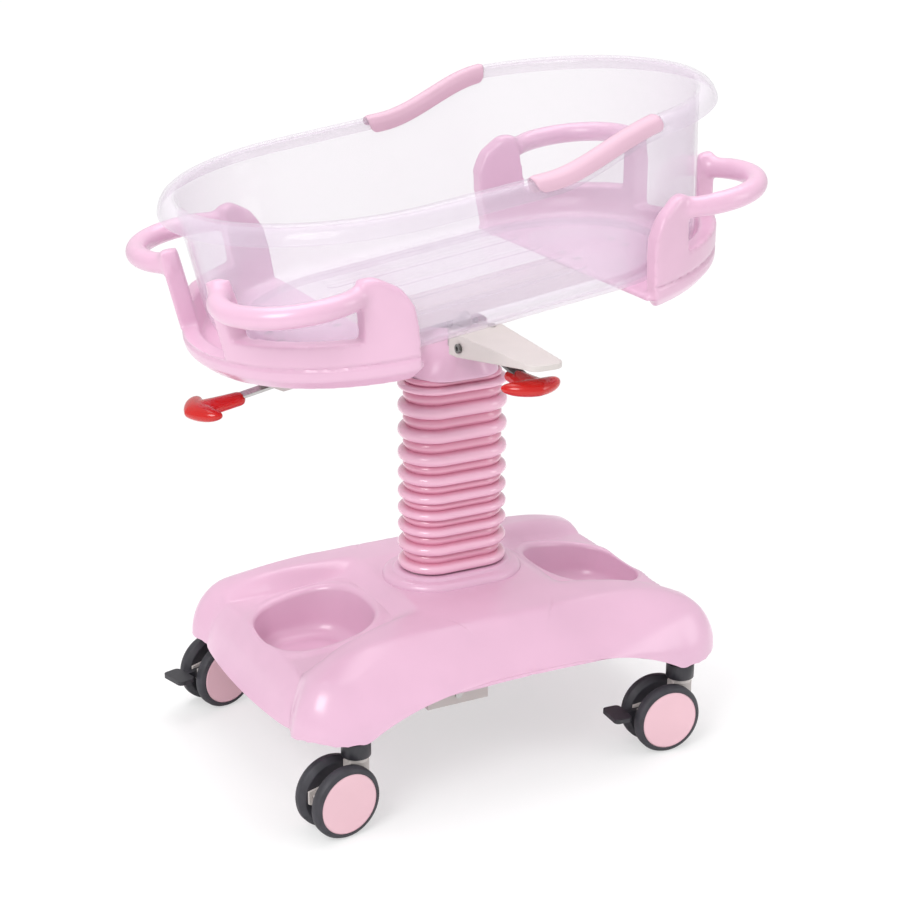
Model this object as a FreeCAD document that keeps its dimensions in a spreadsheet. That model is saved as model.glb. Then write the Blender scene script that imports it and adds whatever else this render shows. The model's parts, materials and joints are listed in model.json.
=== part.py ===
import FreeCAD, Part
import math
import os
import re

import Sketcher

# Hospital bassinet: a clear tub on a tilting cradle, a telescopic lift column in a
# bellows, and a moulded base on four twin-wheel casters.
# X runs from the foot end (-X) to the head end (+X), Z is up, and the origin is on the
# floor under the column. Millimetres throughout.

Vector = FreeCAD.Vector
doc = FreeCAD.newDocument("bassinet")

# ---------------------------------------------------------------- driving dimensions
SIZES = {
    # fits and clearances
    "running_fit": 0.05,
    "parting_gap": 0.3,
    "sheet_steel": 3,
    # casters
    "caster_reach_x": 253,
    "caster_reach_y": 213,
    "wheel_radius": 50,
    "tyre_width": 21,
    "tyre_corner": 7,
    "wheel_inset": 8.6,
    "cap_radius": 42,
    "cap_depth": 4,
    "caster_trail": 30,
    "axle_radius": 4,
    "stem_radius": 5,
    "stem_top": 138,
    "web_half": 8.1,
    "web_edge": 15,
    "neck_radius": 16,
    "neck_height": 6,
    "collar_radius": 19.8,
    "collar_bottom": 101,
    "collar_height": 21.7,
    "swivel_foot_front": 8.6,
    "swivel_foot_back": 15,
    "swivel_head_front": -4,
    "swivel_head_back": 10,
    "pedal_width": 44,
    "pedal_reach": 112,
    "pedal_height": 56,
    "pedal_thick": 6,
    "pedal_stalk": 9,
    "pedal_pin_radius": 3,
    "pedal_pin_back": 62,
    # base cover
    "cover_half_length": 332,
    "cover_half_width": 234,
    "cover_corner": 90,
    "cover_bottom": 123,
    "cover_wall": 4,
    "cover_top": 238,
    "cover_end_height": 190,
    "cover_end_run": 26,
    "cover_brow_height": 214,
    "cover_brow_run": 70,
    "cover_slope_height": 231,
    "cover_slope_run": 142,
    "cover_crown": 120,
    "cover_side_height": 170,
    "cover_side_run": 6,
    "cover_shoulder": 150,
    "cover_shoulder_drop": 12,
    "cover_ridge_half": 90,
    "cover_edge_round": 22,
    "arch_half_span": 248,
    "arch_rise": 48,
    "arch_depth": 50,
    "recess_reach": 215,
    "recess_half_length": 74,
    "recess_half_width": 80,
    "recess_corner": 50,
    "recess_floor": 142,
    "dish_start": 100,
    "dish_rise": 27,
    "cuff_length": 190,
    "cuff_width": 124,
    "cuff_top": 247,
    # base frame
    "frame_floor": 128,
    "frame_plate": 6,
    "frame_plate_length": 230,
    "frame_plate_width": 190,
    "leg_start_x": 84,
    "leg_start_y": 62,
    "leg_width": 32,
    "leg_height": 12,
    "socket_radius": 12,
    "bracket_left": 115,
    "bracket_right": 22,
    "bracket_front": 150,
    "bracket_depth": 60,
    "bracket_drop": 25,
    "cover_screw_radius": 3,
    "cover_screw_height": 117,
    # column
    "tube_length": 92,
    "tube_width": 56,
    "tube_wall": 3,
    "tube_top": 430,
    "foot_flange_length": 140,
    "foot_flange_width": 104,
    "foot_flange": 5,
    "column_bolt_radius": 4,
    "column_bolt_x": 58,
    "column_bolt_y": 40,
    "slide_gap": 3,
    "bush_height": 24,
    "bottom_gap": 3,
    "lift_down": 80,
    "spring_radius": 13,
    "spring_bore": 10.5,
    "spring_top": 396,
    "spring_gland": 8,
    "rod_radius": 5,
    "piston_height": 8,
    "piston_gap": 0.1,
    "piston_bottom": 236,
    "valve_radius": 2.5,
    "valve_depth": 18,
    # bellows
    "bellows_length": 160,
    "bellows_width": 96,
    "bellows_fold": 13,
    "bellows_wall": 2,
    "bellows_bottom": 247,
    "bellows_top": 530,
    # column head
    "head_bottom": 572,
    "head_plate": 20,
    "head_half_length": 42,
    "head_half_width": 34,
    "cheek_outer": 30,
    "cheek_front": 78,
    "cheek_base": 578,
    "slot_half": 12,
    "slot_back": 13,
    "pivot_height": 614,
    "ear_inner": 21,
    "ear_thick": 5,
    "ear_half": 14,
    "pivot_radius": 6,
    "disc_radius": 13,
    "stop_radius": 3.5,
    "stop_x": 20,
    "stop_y": 28.5,
    "tilt_travel": 12,
    "stop_gap": 0.6,
    "shroud_top": 602,
    "shroud_bottom_length": 130,
    "shroud_bottom_width": 92,
    "shroud_waist_length": 96,
    "shroud_waist_width": 82,
    "shroud_waist": 566,
    "shroud_wall": 3,
    # height lever and its guard
    "lever_line": 3,
    "guard_top": 606,
    "guard_root": 57,
    "guard_tip": 252,
    "guard_root_half": 40,
    "guard_tip_half": 25,
    "guard_root_drop": 33,
    "guard_tip_drop": 8,
    "guard_tip_round": 16,
    "guard_screw_radius": 3,
    "guard_screw_y": 66,
    "lever_pivot_y": 85,
    "lever_pivot_z": 588,
    "lever_bolt_radius": 4,
    "lever_barrel": 6.5,
    "lever_barrel_half": 24,
    "lever_strip": 18,
    "lever_thick": 4,
    "lever_reach": 217,
    "lever_end_z": 567,
    "lever_tail": 8,
    "grip_width": 90,
    "grip_depth": 44,
    "grip_thick": 20,
    "grip_stem_width": 34,
    "grip_stem": 62,
    # cradle, in its own level frame
    "tilt_rest": 7.5,
    "cradle_middle": 5,
    "spine_half_length": 285,
    "spine_half_width": 33,
    "spine_bottom": 614,
    "spine_top": 640,
    "hanger_half_x": 16,
    "hanger_half_y": 19,
    "hanger_bottom": 600,
    "bush_wall": 2,
    "guide_x_far": 200,
    "guide_x_near": 60,
    "release_rod_radius": 3,
    "release_rod_z": 622,
    "release_rod_end": 22,
    # end supports
    "support_centre": 134,
    "support_wall": 24,
    "support_bottom": 627,
    "support_top": 771,
    "support_gap": 5,
    "support_lip": 14,
    "support_floor": 7.7,
    "panel_length": 220,
    "panel_top_length": 175,
    "panel_curve_z": 725,
    "window_bottom": 691,
    "window_length": 155,
    "post_outer": 96,
    "post_inner": 76,
    "low_wall_top": 664,
    "handle_radius": 14.5,
    "handle_height": 750,
    "handle_loop": 93,
    "handle_in_x": 102,
    "handle_in_y": 109,
    "handle_post_angle": 45,
    "handle_panel_angle": 125,
    "support_screw_radius": 3,
    "support_screw_near": 185,
    "support_screw_far": 265,
    "support_screw_y": 20,
    # tilt lever
    "tilt_bracket_far": 288,
    "tilt_bracket_near": 236,
    "tilt_bracket_half": 17,
    "tilt_bracket_bottom": 576,
    "tilt_bracket_heel": 590,
    "tilt_pivot_x": 258,
    "tilt_pivot_z": 584,
    "tilt_reach": 378,
    "tilt_end_z": 577,
    # tub
    "tub_foot": -126,
    "tub_head": 147,
    "tub_bottom": 648,
    "tub_wall": 4,
    "tub_radius": 227,
    "tub_base_in": 55,
    "tub_heel_in": 31,
    "tub_heel_z": 658,
    "tub_low_in": 16,
    "tub_low_z": 682,
    "tub_high_z": 820,
    "tub_blank_top": 885,
    "platform_in": 63,
    "platform_rise": 10,
    "slot_width": 20,
    "slot_depth": 3,
    "slot_pitch": 62,
    "slot_length": 300,
    "rim_overhang": 25,
    "rim_depth": 23,
    "rim_foot_z": 842,
    "rim_head_z": 880,
    "rim_step_start": 5,
    "rim_step_end": 210,
    "rim_bend": 90,
    "pad_width": 20,
    "pad_thick": 2.5,
    "pad_start": 14,
    "pad_end": 206,
}

sheet = doc.addObject("Spreadsheet::Sheet", "size")
for row, (alias, number) in enumerate(SIZES.items(), start=1):
    sheet.set(f"A{row}", alias)
    sheet.set(f"B{row}", str(number))
    sheet.setAlias(f"B{row}", alias)
doc.recompute()


# ---------------------------------------------------------------- drawing helpers
def full(expression):
    """Write an expression of sizes as the document reads it, with the sheet's name."""
    def named(word):
        return f"size.{word[0]}" if word[0] in SIZES else word[0]
    return re.sub(r"[a-z_]\w*", named, str(expression))


def value(expression):
    """Work an expression of sizes out as a number."""
    return float(sheet.evalExpression(full(expression)))


def bind(thing, sizes):
    """Tie properties of a document object to expressions of sizes."""
    for name, expression in sizes.items():
        thing.setExpression(name, full(expression))
    return thing


def moved(thing, x="0", y="0", z="0"):
    return bind(thing, {"Placement.Base.x": x, "Placement.Base.y": y, "Placement.Base.z": z})


def turned(thing, axis, angle):
    """Turn a document object about an axis through its own base point."""
    thing.Placement = FreeCAD.Placement(thing.Placement.Base, FreeCAD.Rotation(axis, 1))
    return bind(thing, {"Placement.Rotation.Angle": angle})


def box(name, x, y, z):
    """A block between pairs of expressions along X, Y and Z."""
    block = doc.addObject("Part::Box", name)
    bind(block, {
        "Length": f"({x[1]}) - ({x[0]})",
        "Width": f"({y[1]}) - ({y[0]})",
        "Height": f"({z[1]}) - ({z[0]})",
    })
    return moved(block, x[0], y[0], z[0])


def rod(name, radius, start, length, axis="Z"):
    """A round bar from a start point along a row axis."""
    bar = doc.addObject("Part::Cylinder", name)
    bind(bar, {"Radius": radius, "Height": length})
    if axis == "X":
        bar.Placement = FreeCAD.Placement(Vector(), FreeCAD.Rotation(Vector(0, 1, 0), 90))
    if axis == "Y":
        bar.Placement = FreeCAD.Placement(Vector(), FreeCAD.Rotation(Vector(1, 0, 0), -90))
    return moved(bar, *start)


def fuse(name, *pieces):
    joined = doc.addObject("Part::MultiFuse", name)
    joined.Shapes = list(pieces)
    return joined


def group(name, *pieces):
    """Identical pieces that share a node and stay separate solids."""
    together = doc.addObject("Part::Compound", name)
    together.Links = list(pieces)
    return together


def cut(name, base, *tools):
    removed = doc.addObject("Part::Cut", name)
    removed.Base = base
    removed.Tool = tools[0] if len(tools) == 1 else group(name + "_tools", *tools)
    return removed


def common(name, *pieces):
    shared = doc.addObject("Part::MultiCommon", name)
    shared.Shapes = list(pieces)
    return shared


def new_body(name):
    return doc.addObject("PartDesign::Body", name)


def origin_plane(body, role):
    return [plane for plane in body.Origin.OriginFeatures if plane.Role == role + "_Plane"][0]


def fix_point(sketch, edge, end, x, y):
    """Hold one end of a sketch edge at two expressions from the sketch's origin."""
    for kind, expression in (("DistanceX", x), ("DistanceY", y)):
        number = sketch.addConstraint(
            Sketcher.Constraint(kind, -1, 1, edge, end, value(expression)))
        sketch.setExpression(f"Constraints[{number}]", full(expression))


def draw_lines(sketch, points, closed=True):
    """Draw straight edges through points, each held by its two expressions."""
    places = [Vector(value(x), value(y), 0) for x, y in points]
    count = len(points) if closed else len(points) - 1
    for index in range(count):
        following = places[(index + 1) % len(points)]
        sketch.addGeometry(Part.LineSegment(places[index], following), False)
    for index in range(count if closed else count - 1):
        sketch.addConstraint(
            Sketcher.Constraint("Coincident", index, 2, (index + 1) % count, 1))
    for index in range(count):
        fix_point(sketch, index, 1, *points[index])
    if not closed:
        fix_point(sketch, count - 1, 2, *points[-1])


def draw_stadium(sketch, left, right, radius):
    """Draw two half circles about points on the X axis, joined by straights."""
    first, last, size = value(left), value(right), value(radius)
    left_arc = Part.ArcOfCircle(
        Part.Circle(Vector(first, 0, 0), Vector(0, 0, 1), size), math.pi / 2, math.pi * 1.5)
    right_arc = Part.ArcOfCircle(
        Part.Circle(Vector(last, 0, 0), Vector(0, 0, 1), size), -math.pi / 2, math.pi / 2)
    lower = Part.LineSegment(Vector(first, -size, 0), Vector(last, -size, 0))
    upper = Part.LineSegment(Vector(last, size, 0), Vector(first, size, 0))
    for edge in (left_arc, lower, right_arc, upper):
        sketch.addGeometry(edge, False)
    for edge in range(4):
        sketch.addConstraint(Sketcher.Constraint("Tangent", edge, 2, (edge + 1) % 4, 1))
    fix_point(sketch, 0, 3, left, "0")
    number = sketch.addConstraint(Sketcher.Constraint("DistanceX", -1, 1, 2, 3, last))
    sketch.setExpression(f"Constraints[{number}]", full(right))
    number = sketch.addConstraint(Sketcher.Constraint("Radius", 0, size))
    sketch.setExpression(f"Constraints[{number}]", full(radius))


def sketch_in(body, name, plane="XY", height=None):
    """Start a sketch on one of a body's own planes, lifted along the plane's normal."""
    sketch = body.newObject("Sketcher::SketchObject", name)
    sketch.AttachmentSupport = [(origin_plane(body, plane), "")]
    sketch.MapMode = "FlatFace"
    if height is not None:
        bind(sketch, {"AttachmentOffset.Base.z": height})
    return sketch


def pad(body, sketch, length, middle=False):
    feature = body.newObject("PartDesign::Pad", sketch.Name + "_pad")
    feature.Profile = sketch
    feature.Midplane = middle
    bind(feature, {"Length": length})
    doc.recompute()
    return feature


def plate(name, points, length, plane="XY", height=None, middle=False):
    """A straight-edged outline padded to a thickness, as a body of its own."""
    body = new_body(name)
    sketch = sketch_in(body, name + "_outline", plane, height)
    draw_lines(sketch, points)
    pad(body, sketch, length, middle)
    return body


def stadium(name, left, right, radius, bottom, height):
    """An upright block whose plan is a stadium along X."""
    body = new_body(name)
    sketch = sketch_in(body, name + "_outline", "XY", bottom)
    draw_stadium(sketch, left, right, radius)
    pad(body, sketch, height)
    return body


def stadium_loft(name, left, right, sections):
    """A ruled loft through stadium sections, each a radius at a height."""
    body = new_body(name)
    drawn = []
    for number, (radius, height) in enumerate(sections):
        sketch = sketch_in(body, f"{name}_section_{number}", "XY", height)
        draw_stadium(sketch, left, right, radius)
        drawn.append(sketch)
    loft = body.newObject("PartDesign::AdditiveLoft", name + "_loft")
    loft.Profile = drawn[0]
    loft.Sections = drawn[1:]
    loft.Ruled = True
    doc.recompute()
    return body


def rounded(body, radius, chosen):
    """Fillet those edges of a body's tip that a test of their ends picks out."""
    base = body.Tip
    names = [
        f"Edge{number}" for number, edge in enumerate(base.Shape.Edges, start=1)
        if chosen(edge)
    ]
    fillet = body.newObject("PartDesign::Fillet", f"{body.Name}_round_{len(body.Group)}")
    fillet.Base = (base, names)
    bind(fillet, {"Radius": radius})
    doc.recompute()
    return body


def upright(edge):
    box_of = edge.BoundBox
    return box_of.XLength < 0.001 and box_of.YLength < 0.001


def revolved(name, points, axis="V_Axis", plane="XZ"):
    """A straight-edged profile turned once about an axis of its sketch."""
    body = new_body(name)
    sketch = sketch_in(body, name + "_profile", plane)
    draw_lines(sketch, points)
    turn = body.newObject("PartDesign::Revolution", name + "_turn")
    turn.Profile = sketch
    turn.ReferenceAxis = (sketch, [axis])
    turn.Angle = 360
    doc.recompute()
    return body


NODES = {}


def keep(node, thing):
    """Name an object as a node of the part."""
    thing.Label = node
    NODES[node] = thing
    return thing


# ---------------------------------------------------------------- the cradle's rest tilt
CRADLE_TURN = "0 - tilt_rest"


def on_cradle(thing):
    """Tilt a piece drawn level to the cradle's rest angle about the pivot pin."""
    thing.Placement = FreeCAD.Placement(Vector(), FreeCAD.Rotation(Vector(0, 1, 0), 1))
    return bind(thing, {
        "Placement.Rotation.Angle": CRADLE_TURN,
        "Placement.Base.x": "pivot_height * sin(tilt_rest)",
        "Placement.Base.z": "pivot_height * (1 - cos(tilt_rest))",
    })


# ---------------------------------------------------------------- casters
def caster_stem_at(name, x, y):
    return rod(name, "stem_radius", (x, y, "wheel_radius + 14"),
               "stem_top - wheel_radius - 14")


def caster_collar_at(name, x, y):
    """The black ring round the stem, between the housing's neck and the base."""
    place = (x, y, "collar_bottom + parting_gap")
    ring = rod(name + "_ring", "collar_radius", place, "collar_height - parting_gap")
    hole = rod(name + "_hole", "stem_radius", place, "collar_height")
    return cut(name, ring, hole)


def caster_housing(name):
    """The web between the wheels and its neck, drawn round the stem at the origin."""
    web = plate(name + "_web", [
        ("web_edge - 2 * web_edge", "wheel_radius + 32"),
        ("0 - caster_trail - web_edge", "wheel_radius + 18"),
        ("0 - pedal_pin_back - 8", "pedal_height + 9"),
        ("0 - pedal_pin_back - 8", "pedal_height - 9"),
        ("0 - caster_trail - web_edge", "wheel_radius - web_edge"),
        ("0 - caster_trail + web_edge", "wheel_radius - web_edge"),
        ("web_edge", "wheel_radius + 10"),
        ("web_edge", "collar_bottom - neck_height"),
        ("0 - web_edge", "collar_bottom - neck_height"),
    ], "2 * web_half", "XZ", middle=True)
    neck = rod(name + "_neck", "neck_radius",
               ("0", "0", "collar_bottom - neck_height"), "neck_height")
    stem_hole = rod(name + "_stem_hole", "stem_radius + running_fit",
                    ("0", "0", "wheel_radius + 13"), "collar_bottom")
    axle_hole = rod(name + "_axle_hole", "axle_radius",
                    ("0 - caster_trail", "0 - neck_radius", "wheel_radius"),
                    "2 * neck_radius", "Y")
    pin_hole = rod(name + "_pin_hole", "pedal_pin_radius",
                   ("0 - pedal_pin_back", "0 - neck_radius", "pedal_height"),
                   "2 * neck_radius", "Y")
    stalk_slot = box(name + "_stalk_slot",
                     ("0 - pedal_pin_back - web_edge", "0 - pedal_pin_back + 9"),
                     ("0 - pedal_stalk / 2 - parting_gap", "pedal_stalk / 2 + parting_gap"),
                     ("pedal_height - 12", "pedal_height + 16"))
    return cut(name, fuse(name + "_solid", web, neck),
               stem_hole, axle_hole, pin_hole, stalk_slot)


def caster_axle(name):
    reach = "(wheel_inset + tyre_width - cap_depth - parting_gap)"
    return rod(name, "axle_radius", ("0 - caster_trail", f"0 - {reach}", "wheel_radius"),
               f"2 * {reach}", "Y")


def caster_tyre(name, side):
    """One wheel: a rounded tyre and its hub disc, hollowed on the outer face for the cap."""
    edge = "wheel_inset + tyre_width"
    turned_tyre = revolved(name + "_tyre", [
        ("axle_radius + running_fit", "wheel_inset"),
        ("wheel_radius - tyre_corner", "wheel_inset"),
        ("wheel_radius", "wheel_inset + tyre_corner"),
        ("wheel_radius", f"{edge} - tyre_corner"),
        ("wheel_radius - tyre_corner / 3", f"{edge} - tyre_corner / 3"),
        ("wheel_radius - tyre_corner", edge),
        ("cap_radius", edge),
        ("cap_radius", f"{edge} - cap_depth"),
        ("axle_radius + running_fit", f"{edge} - cap_depth"),
    ])
    return wheel_placed(turned_tyre, side)


def caster_cap(name, side):
    face = revolved(name + "_cap", [
        ("0", "wheel_inset + tyre_width - cap_depth"),
        ("cap_radius", "wheel_inset + tyre_width - cap_depth"),
        ("cap_radius", "wheel_inset + tyre_width - 1"),
        ("cap_radius - 2", "wheel_inset + tyre_width"),
        ("0", "wheel_inset + tyre_width"),
    ])
    return wheel_placed(face, side)


def wheel_placed(thing, side):
    """Lay a wheel piece, turned about Z, with its axis along Y on the given side."""
    thing.Placement = FreeCAD.Placement(
        Vector(), FreeCAD.Rotation(Vector(1, 0, 0), -90 * side))
    return moved(thing, "0 - caster_trail", "0", "wheel_radius")


def brake_pedal(name):
    """A tread behind the wheels on a stalk that swings on a pin through the web."""
    stalk = plate(name + "_stalk", [
        ("0 - pedal_pin_back + 6", "pedal_height - 6"),
        ("0 - pedal_pin_back + 6", "pedal_height + 6"),
        ("0 - caster_trail - wheel_radius - 8", "pedal_height + 6"),
        ("0 - caster_trail - wheel_radius - 8", "pedal_height + 6 - pedal_thick"),
        ("0 - pedal_pin_back - 7", "pedal_height - 6"),
    ], "pedal_stalk", "XZ", middle=True)
    tread = plate(name + "_tread", [
        ("0 - caster_trail - wheel_radius - 5", "0 - pedal_width / 2"),
        ("0 - caster_trail - wheel_radius - 5", "pedal_width / 2"),
        ("0 - pedal_reach", "pedal_width / 2"),
        ("0 - pedal_reach", "0 - pedal_width / 2"),
    ], "pedal_thick", "XY", height="pedal_height + 6 - pedal_thick")
    rounded(tread, "tyre_corner", upright)
    pin_hole = rod(name + "_pin_hole", "pedal_pin_radius + running_fit",
                   ("0 - pedal_pin_back", "0 - pedal_stalk", "pedal_height"),
                   "2 * pedal_stalk", "Y")
    return cut(name, fuse(name + "_solid", stalk, tread), pin_hole)


def caster_placed(thing, x, y, swivel):
    """Carry a piece drawn round its own stem to a corner of the base."""
    thing.Placement = FreeCAD.Placement(Vector(), FreeCAD.Rotation(Vector(0, 0, 1), 1))
    return bind(thing, {
        "Placement.Rotation.Angle": swivel,
        "Placement.Base.x": x,
        "Placement.Base.y": y,
    })


CASTERS = {
    "foot_front": ("0 - caster_reach_x", "0 - caster_reach_y", "swivel_foot_front"),
    "foot_back": ("0 - caster_reach_x", "caster_reach_y", "swivel_foot_back"),
    "head_front": ("caster_reach_x", "0 - caster_reach_y", "swivel_head_front"),
    "head_back": ("caster_reach_x", "caster_reach_y", "swivel_head_back"),
}
BRAKED = ("foot_back", "head_front")

for corner, (x, y, swivel) in CASTERS.items():
    caster = f"{corner}_caster"
    place = (x, y, swivel)
    keep(f"{caster}_housing", caster_placed(caster_housing(caster + "_housing_form"), *place))
    keep(f"{caster}_axle", caster_placed(
        group(caster + "_axle_form", caster_axle(caster + "_axle_bar")), *place))
    tyres = [caster_tyre(f"{caster}_{side}", number)
             for side, number in (("near", 1), ("far", -1))]
    keep(f"{caster}_tyres", caster_placed(group(caster + "_tyre_pair", *tyres), *place))
    caps = [caster_cap(f"{caster}_{side}", number)
            for side, number in (("near", 1), ("far", -1))]
    keep(f"{caster}_caps", caster_placed(group(caster + "_cap_pair", *caps), *place))
    if corner in BRAKED:
        keep(f"{corner}_brake_pedal", caster_placed(brake_pedal(corner + "_pedal_form"), *place))
        pin = rod(corner + "_pin_bar", "pedal_pin_radius",
                  ("0 - pedal_pin_back", "0 - web_half", "pedal_height"), "2 * web_half", "Y")
        keep(f"{corner}_pedal_pin", caster_placed(group(corner + "_pin_form", pin), *place))

keep("caster_stems", group("caster_stem_set", *[
    caster_stem_at(f"{corner}_stem", x, y) for corner, (x, y, swivel) in CASTERS.items()]))
keep("caster_collars", group("caster_collar_set", *[
    caster_collar_at(f"{corner}_collar", x, y) for corner, (x, y, swivel) in CASTERS.items()]))


# ---------------------------------------------------------------- base cover
def cover_block(name, inset):
    """The cover's outer form, or with an inset the hollow inside it."""
    length, width = f"(cover_half_length - {inset})", f"(cover_half_width - {inset})"
    foot = "cover_bottom" if inset == "0" else "cover_bottom - cover_wall"
    plan = plate(name + "_plan", [
        (f"0 - {length}", f"0 - {width}"), (length, f"0 - {width}"),
        (length, width), (f"0 - {length}", width),
    ], f"cuff_top - {foot}", height=foot)
    rounded(plan, f"cover_corner - {inset}", upright)
    side = plate(name + "_side", [
        (f"0 - {length}", foot), (length, foot),
        (f"{length} - cover_end_run", f"cover_end_height - {inset}"),
        (f"{length} - cover_brow_run", f"cover_brow_height - {inset}"),
        (f"{length} - cover_slope_run", f"cover_slope_height - {inset}"),
        ("cover_crown", f"cover_top - {inset}"),
        ("0 - cover_crown", f"cover_top - {inset}"),
        (f"cover_slope_run - {length}", f"cover_slope_height - {inset}"),
        (f"cover_brow_run - {length}", f"cover_brow_height - {inset}"),
        (f"0 - {length} + cover_end_run", f"cover_end_height - {inset}"),
    ], f"2 * {width}", "XZ", middle=True)
    rounded(side, f"cover_edge_round - {inset}", lambda edge: high_ridge(edge, "X"))
    end = plate(name + "_end", [
        (f"0 - {width}", foot), (width, foot),
        (f"{width} - cover_side_run", f"cover_side_height - {inset}"),
        (f"cover_shoulder - {inset} / 2", f"cover_top - cover_shoulder_drop - {inset}"),
        ("cover_ridge_half", f"cover_top - {inset}"),
        ("0 - cover_ridge_half", f"cover_top - {inset}"),
        (f"{inset} / 2 - cover_shoulder", f"cover_top - cover_shoulder_drop - {inset}"),
        (f"cover_side_run - {width}", f"cover_side_height - {inset}"),
    ], f"2 * {length}", "YZ", middle=True)
    rounded(end, f"cover_edge_round - {inset}", lambda edge: high_ridge(edge, "Y"))
    whole = common(name + "_whole", plan, side, end)
    return cut(name, whole, cover_dish(name + "_foot_dish", -1, inset),
               cover_dish(name + "_head_dish", 1, inset))


def cover_dish(name, side, inset):
    """The sunk field round one recess, between the two lobes that run down to the casters."""
    reach = "cover_half_length"
    fall = plate(name + "_fall", [
        (f"{side} * ({reach} + 5)", f"cover_bottom - 18 - {inset}"),
        (f"{side} * ({reach} - 21)", f"cover_end_height - dish_rise - {inset}"),
        (f"{side} * ({reach} - 40)", f"cover_brow_height - dish_rise - {inset}"),
        (f"{side} * ({reach} - cover_slope_run)", f"cover_slope_height - dish_rise - {inset}"),
        (f"{side} * (dish_start + 34)", f"cover_top - dish_rise + 4 - {inset}"),
        (f"{side} * dish_start", f"cover_top + 4 - {inset}"),
        (f"{side} * dish_start", "cuff_top"),
        (f"{side} * ({reach} + 5)", "cuff_top"),
    ], "2 * cover_half_width", "XZ", middle=True)
    field = plate(name + "_field", [
        (f"{side} * ({reach} + 5)", f"0 - cover_shoulder - {inset}"),
        (f"{side} * ({reach} - 40)", f"20 - cover_shoulder - {inset}"),
        (f"{side} * (dish_start + 34)", f"0 - cover_ridge_half - {inset}"),
        (f"{side} * dish_start", f"30 - cover_ridge_half - {inset}"),
        (f"{side} * dish_start", f"cover_ridge_half - 30 + {inset}"),
        (f"{side} * (dish_start + 34)", f"cover_ridge_half + {inset}"),
        (f"{side} * ({reach} - 40)", f"cover_shoulder - 20 + {inset}"),
        (f"{side} * ({reach} + 5)", f"cover_shoulder + {inset}"),
    ], "cuff_top", height="0")
    return common(name, fall, field)


def high_ridge(edge, across):
    """True of the straight ridges above the cover's skirt, outside its flat top."""
    middle = edge.CenterOfMass
    straight = edge.BoundBox.ZLength < 0.001
    offset = abs(middle.x if across == "X" else middle.y)
    along = edge.BoundBox.YLength if across == "X" else edge.BoundBox.XLength
    return straight and along > value("cover_half_width") and offset > value(
        "cover_crown + 1" if across == "X" else "cover_ridge_half + 1") and middle.z > value(
        "cover_bottom + cover_edge_round")


def recess_block(name, side, inset, floor):
    """The rounded-square well of one storage recess."""
    middle = f"({side} * recess_reach)"
    half_x, half_y = f"(recess_half_length + {inset})", f"(recess_half_width + {inset})"
    well = plate(name, [
        (f"{middle} - {half_x}", f"0 - {half_y}"), (f"{middle} + {half_x}", f"0 - {half_y}"),
        (f"{middle} + {half_x}", half_y), (f"{middle} - {half_x}", half_y),
    ], f"cuff_top - ({floor})", height=floor)
    return rounded(well, f"recess_corner + {inset}", upright)


def base_cover():
    outer, hollow = cover_block("cover_outer", "0"), cover_block("cover_hollow", "cover_wall")
    shell = cut("cover_shell", outer, hollow)
    cups = [recess_block(f"cup_{word}", side, "cover_wall", "recess_floor - cover_wall")
            for word, side in (("foot", -1), ("head", 1))]
    cup_walls = common("cup_walls", outer, fuse("cups", *cups))
    wells = [recess_block(f"well_{word}", side, "0", "recess_floor")
             for word, side in (("foot", -1), ("head", 1))]
    cuff_half = "(cuff_length - cuff_width) / 2"
    cuff = stadium("cover_cuff", f"0 - {cuff_half}", cuff_half, "cuff_width / 2",
                   "cover_top - cover_wall", "cuff_top - cover_top + cover_wall")
    bore_half = "(bellows_length - bellows_width) / 2"
    opening = stadium("cover_opening", f"0 - {bore_half}", bore_half,
                      "bellows_width / 2 - bellows_fold", "cover_bottom", "cuff_top")
    arch_radius = "(arch_half_span * arch_half_span + arch_rise * arch_rise) / (2 * arch_rise)"
    arches = []
    for word, start in (("front", "0 - cover_half_width - 5"),
                        ("back", "cover_half_width - arch_depth")):
        arches.append(rod(f"arch_{word}", arch_radius,
                          ("0", start, f"cover_bottom + arch_rise - {arch_radius}"),
                          "arch_depth + 5", "Y"))
    return cut("cover_form", fuse("cover_body", shell, cup_walls, cuff),
               *wells, opening, *arches)


keep("base_cover", base_cover())


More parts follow.
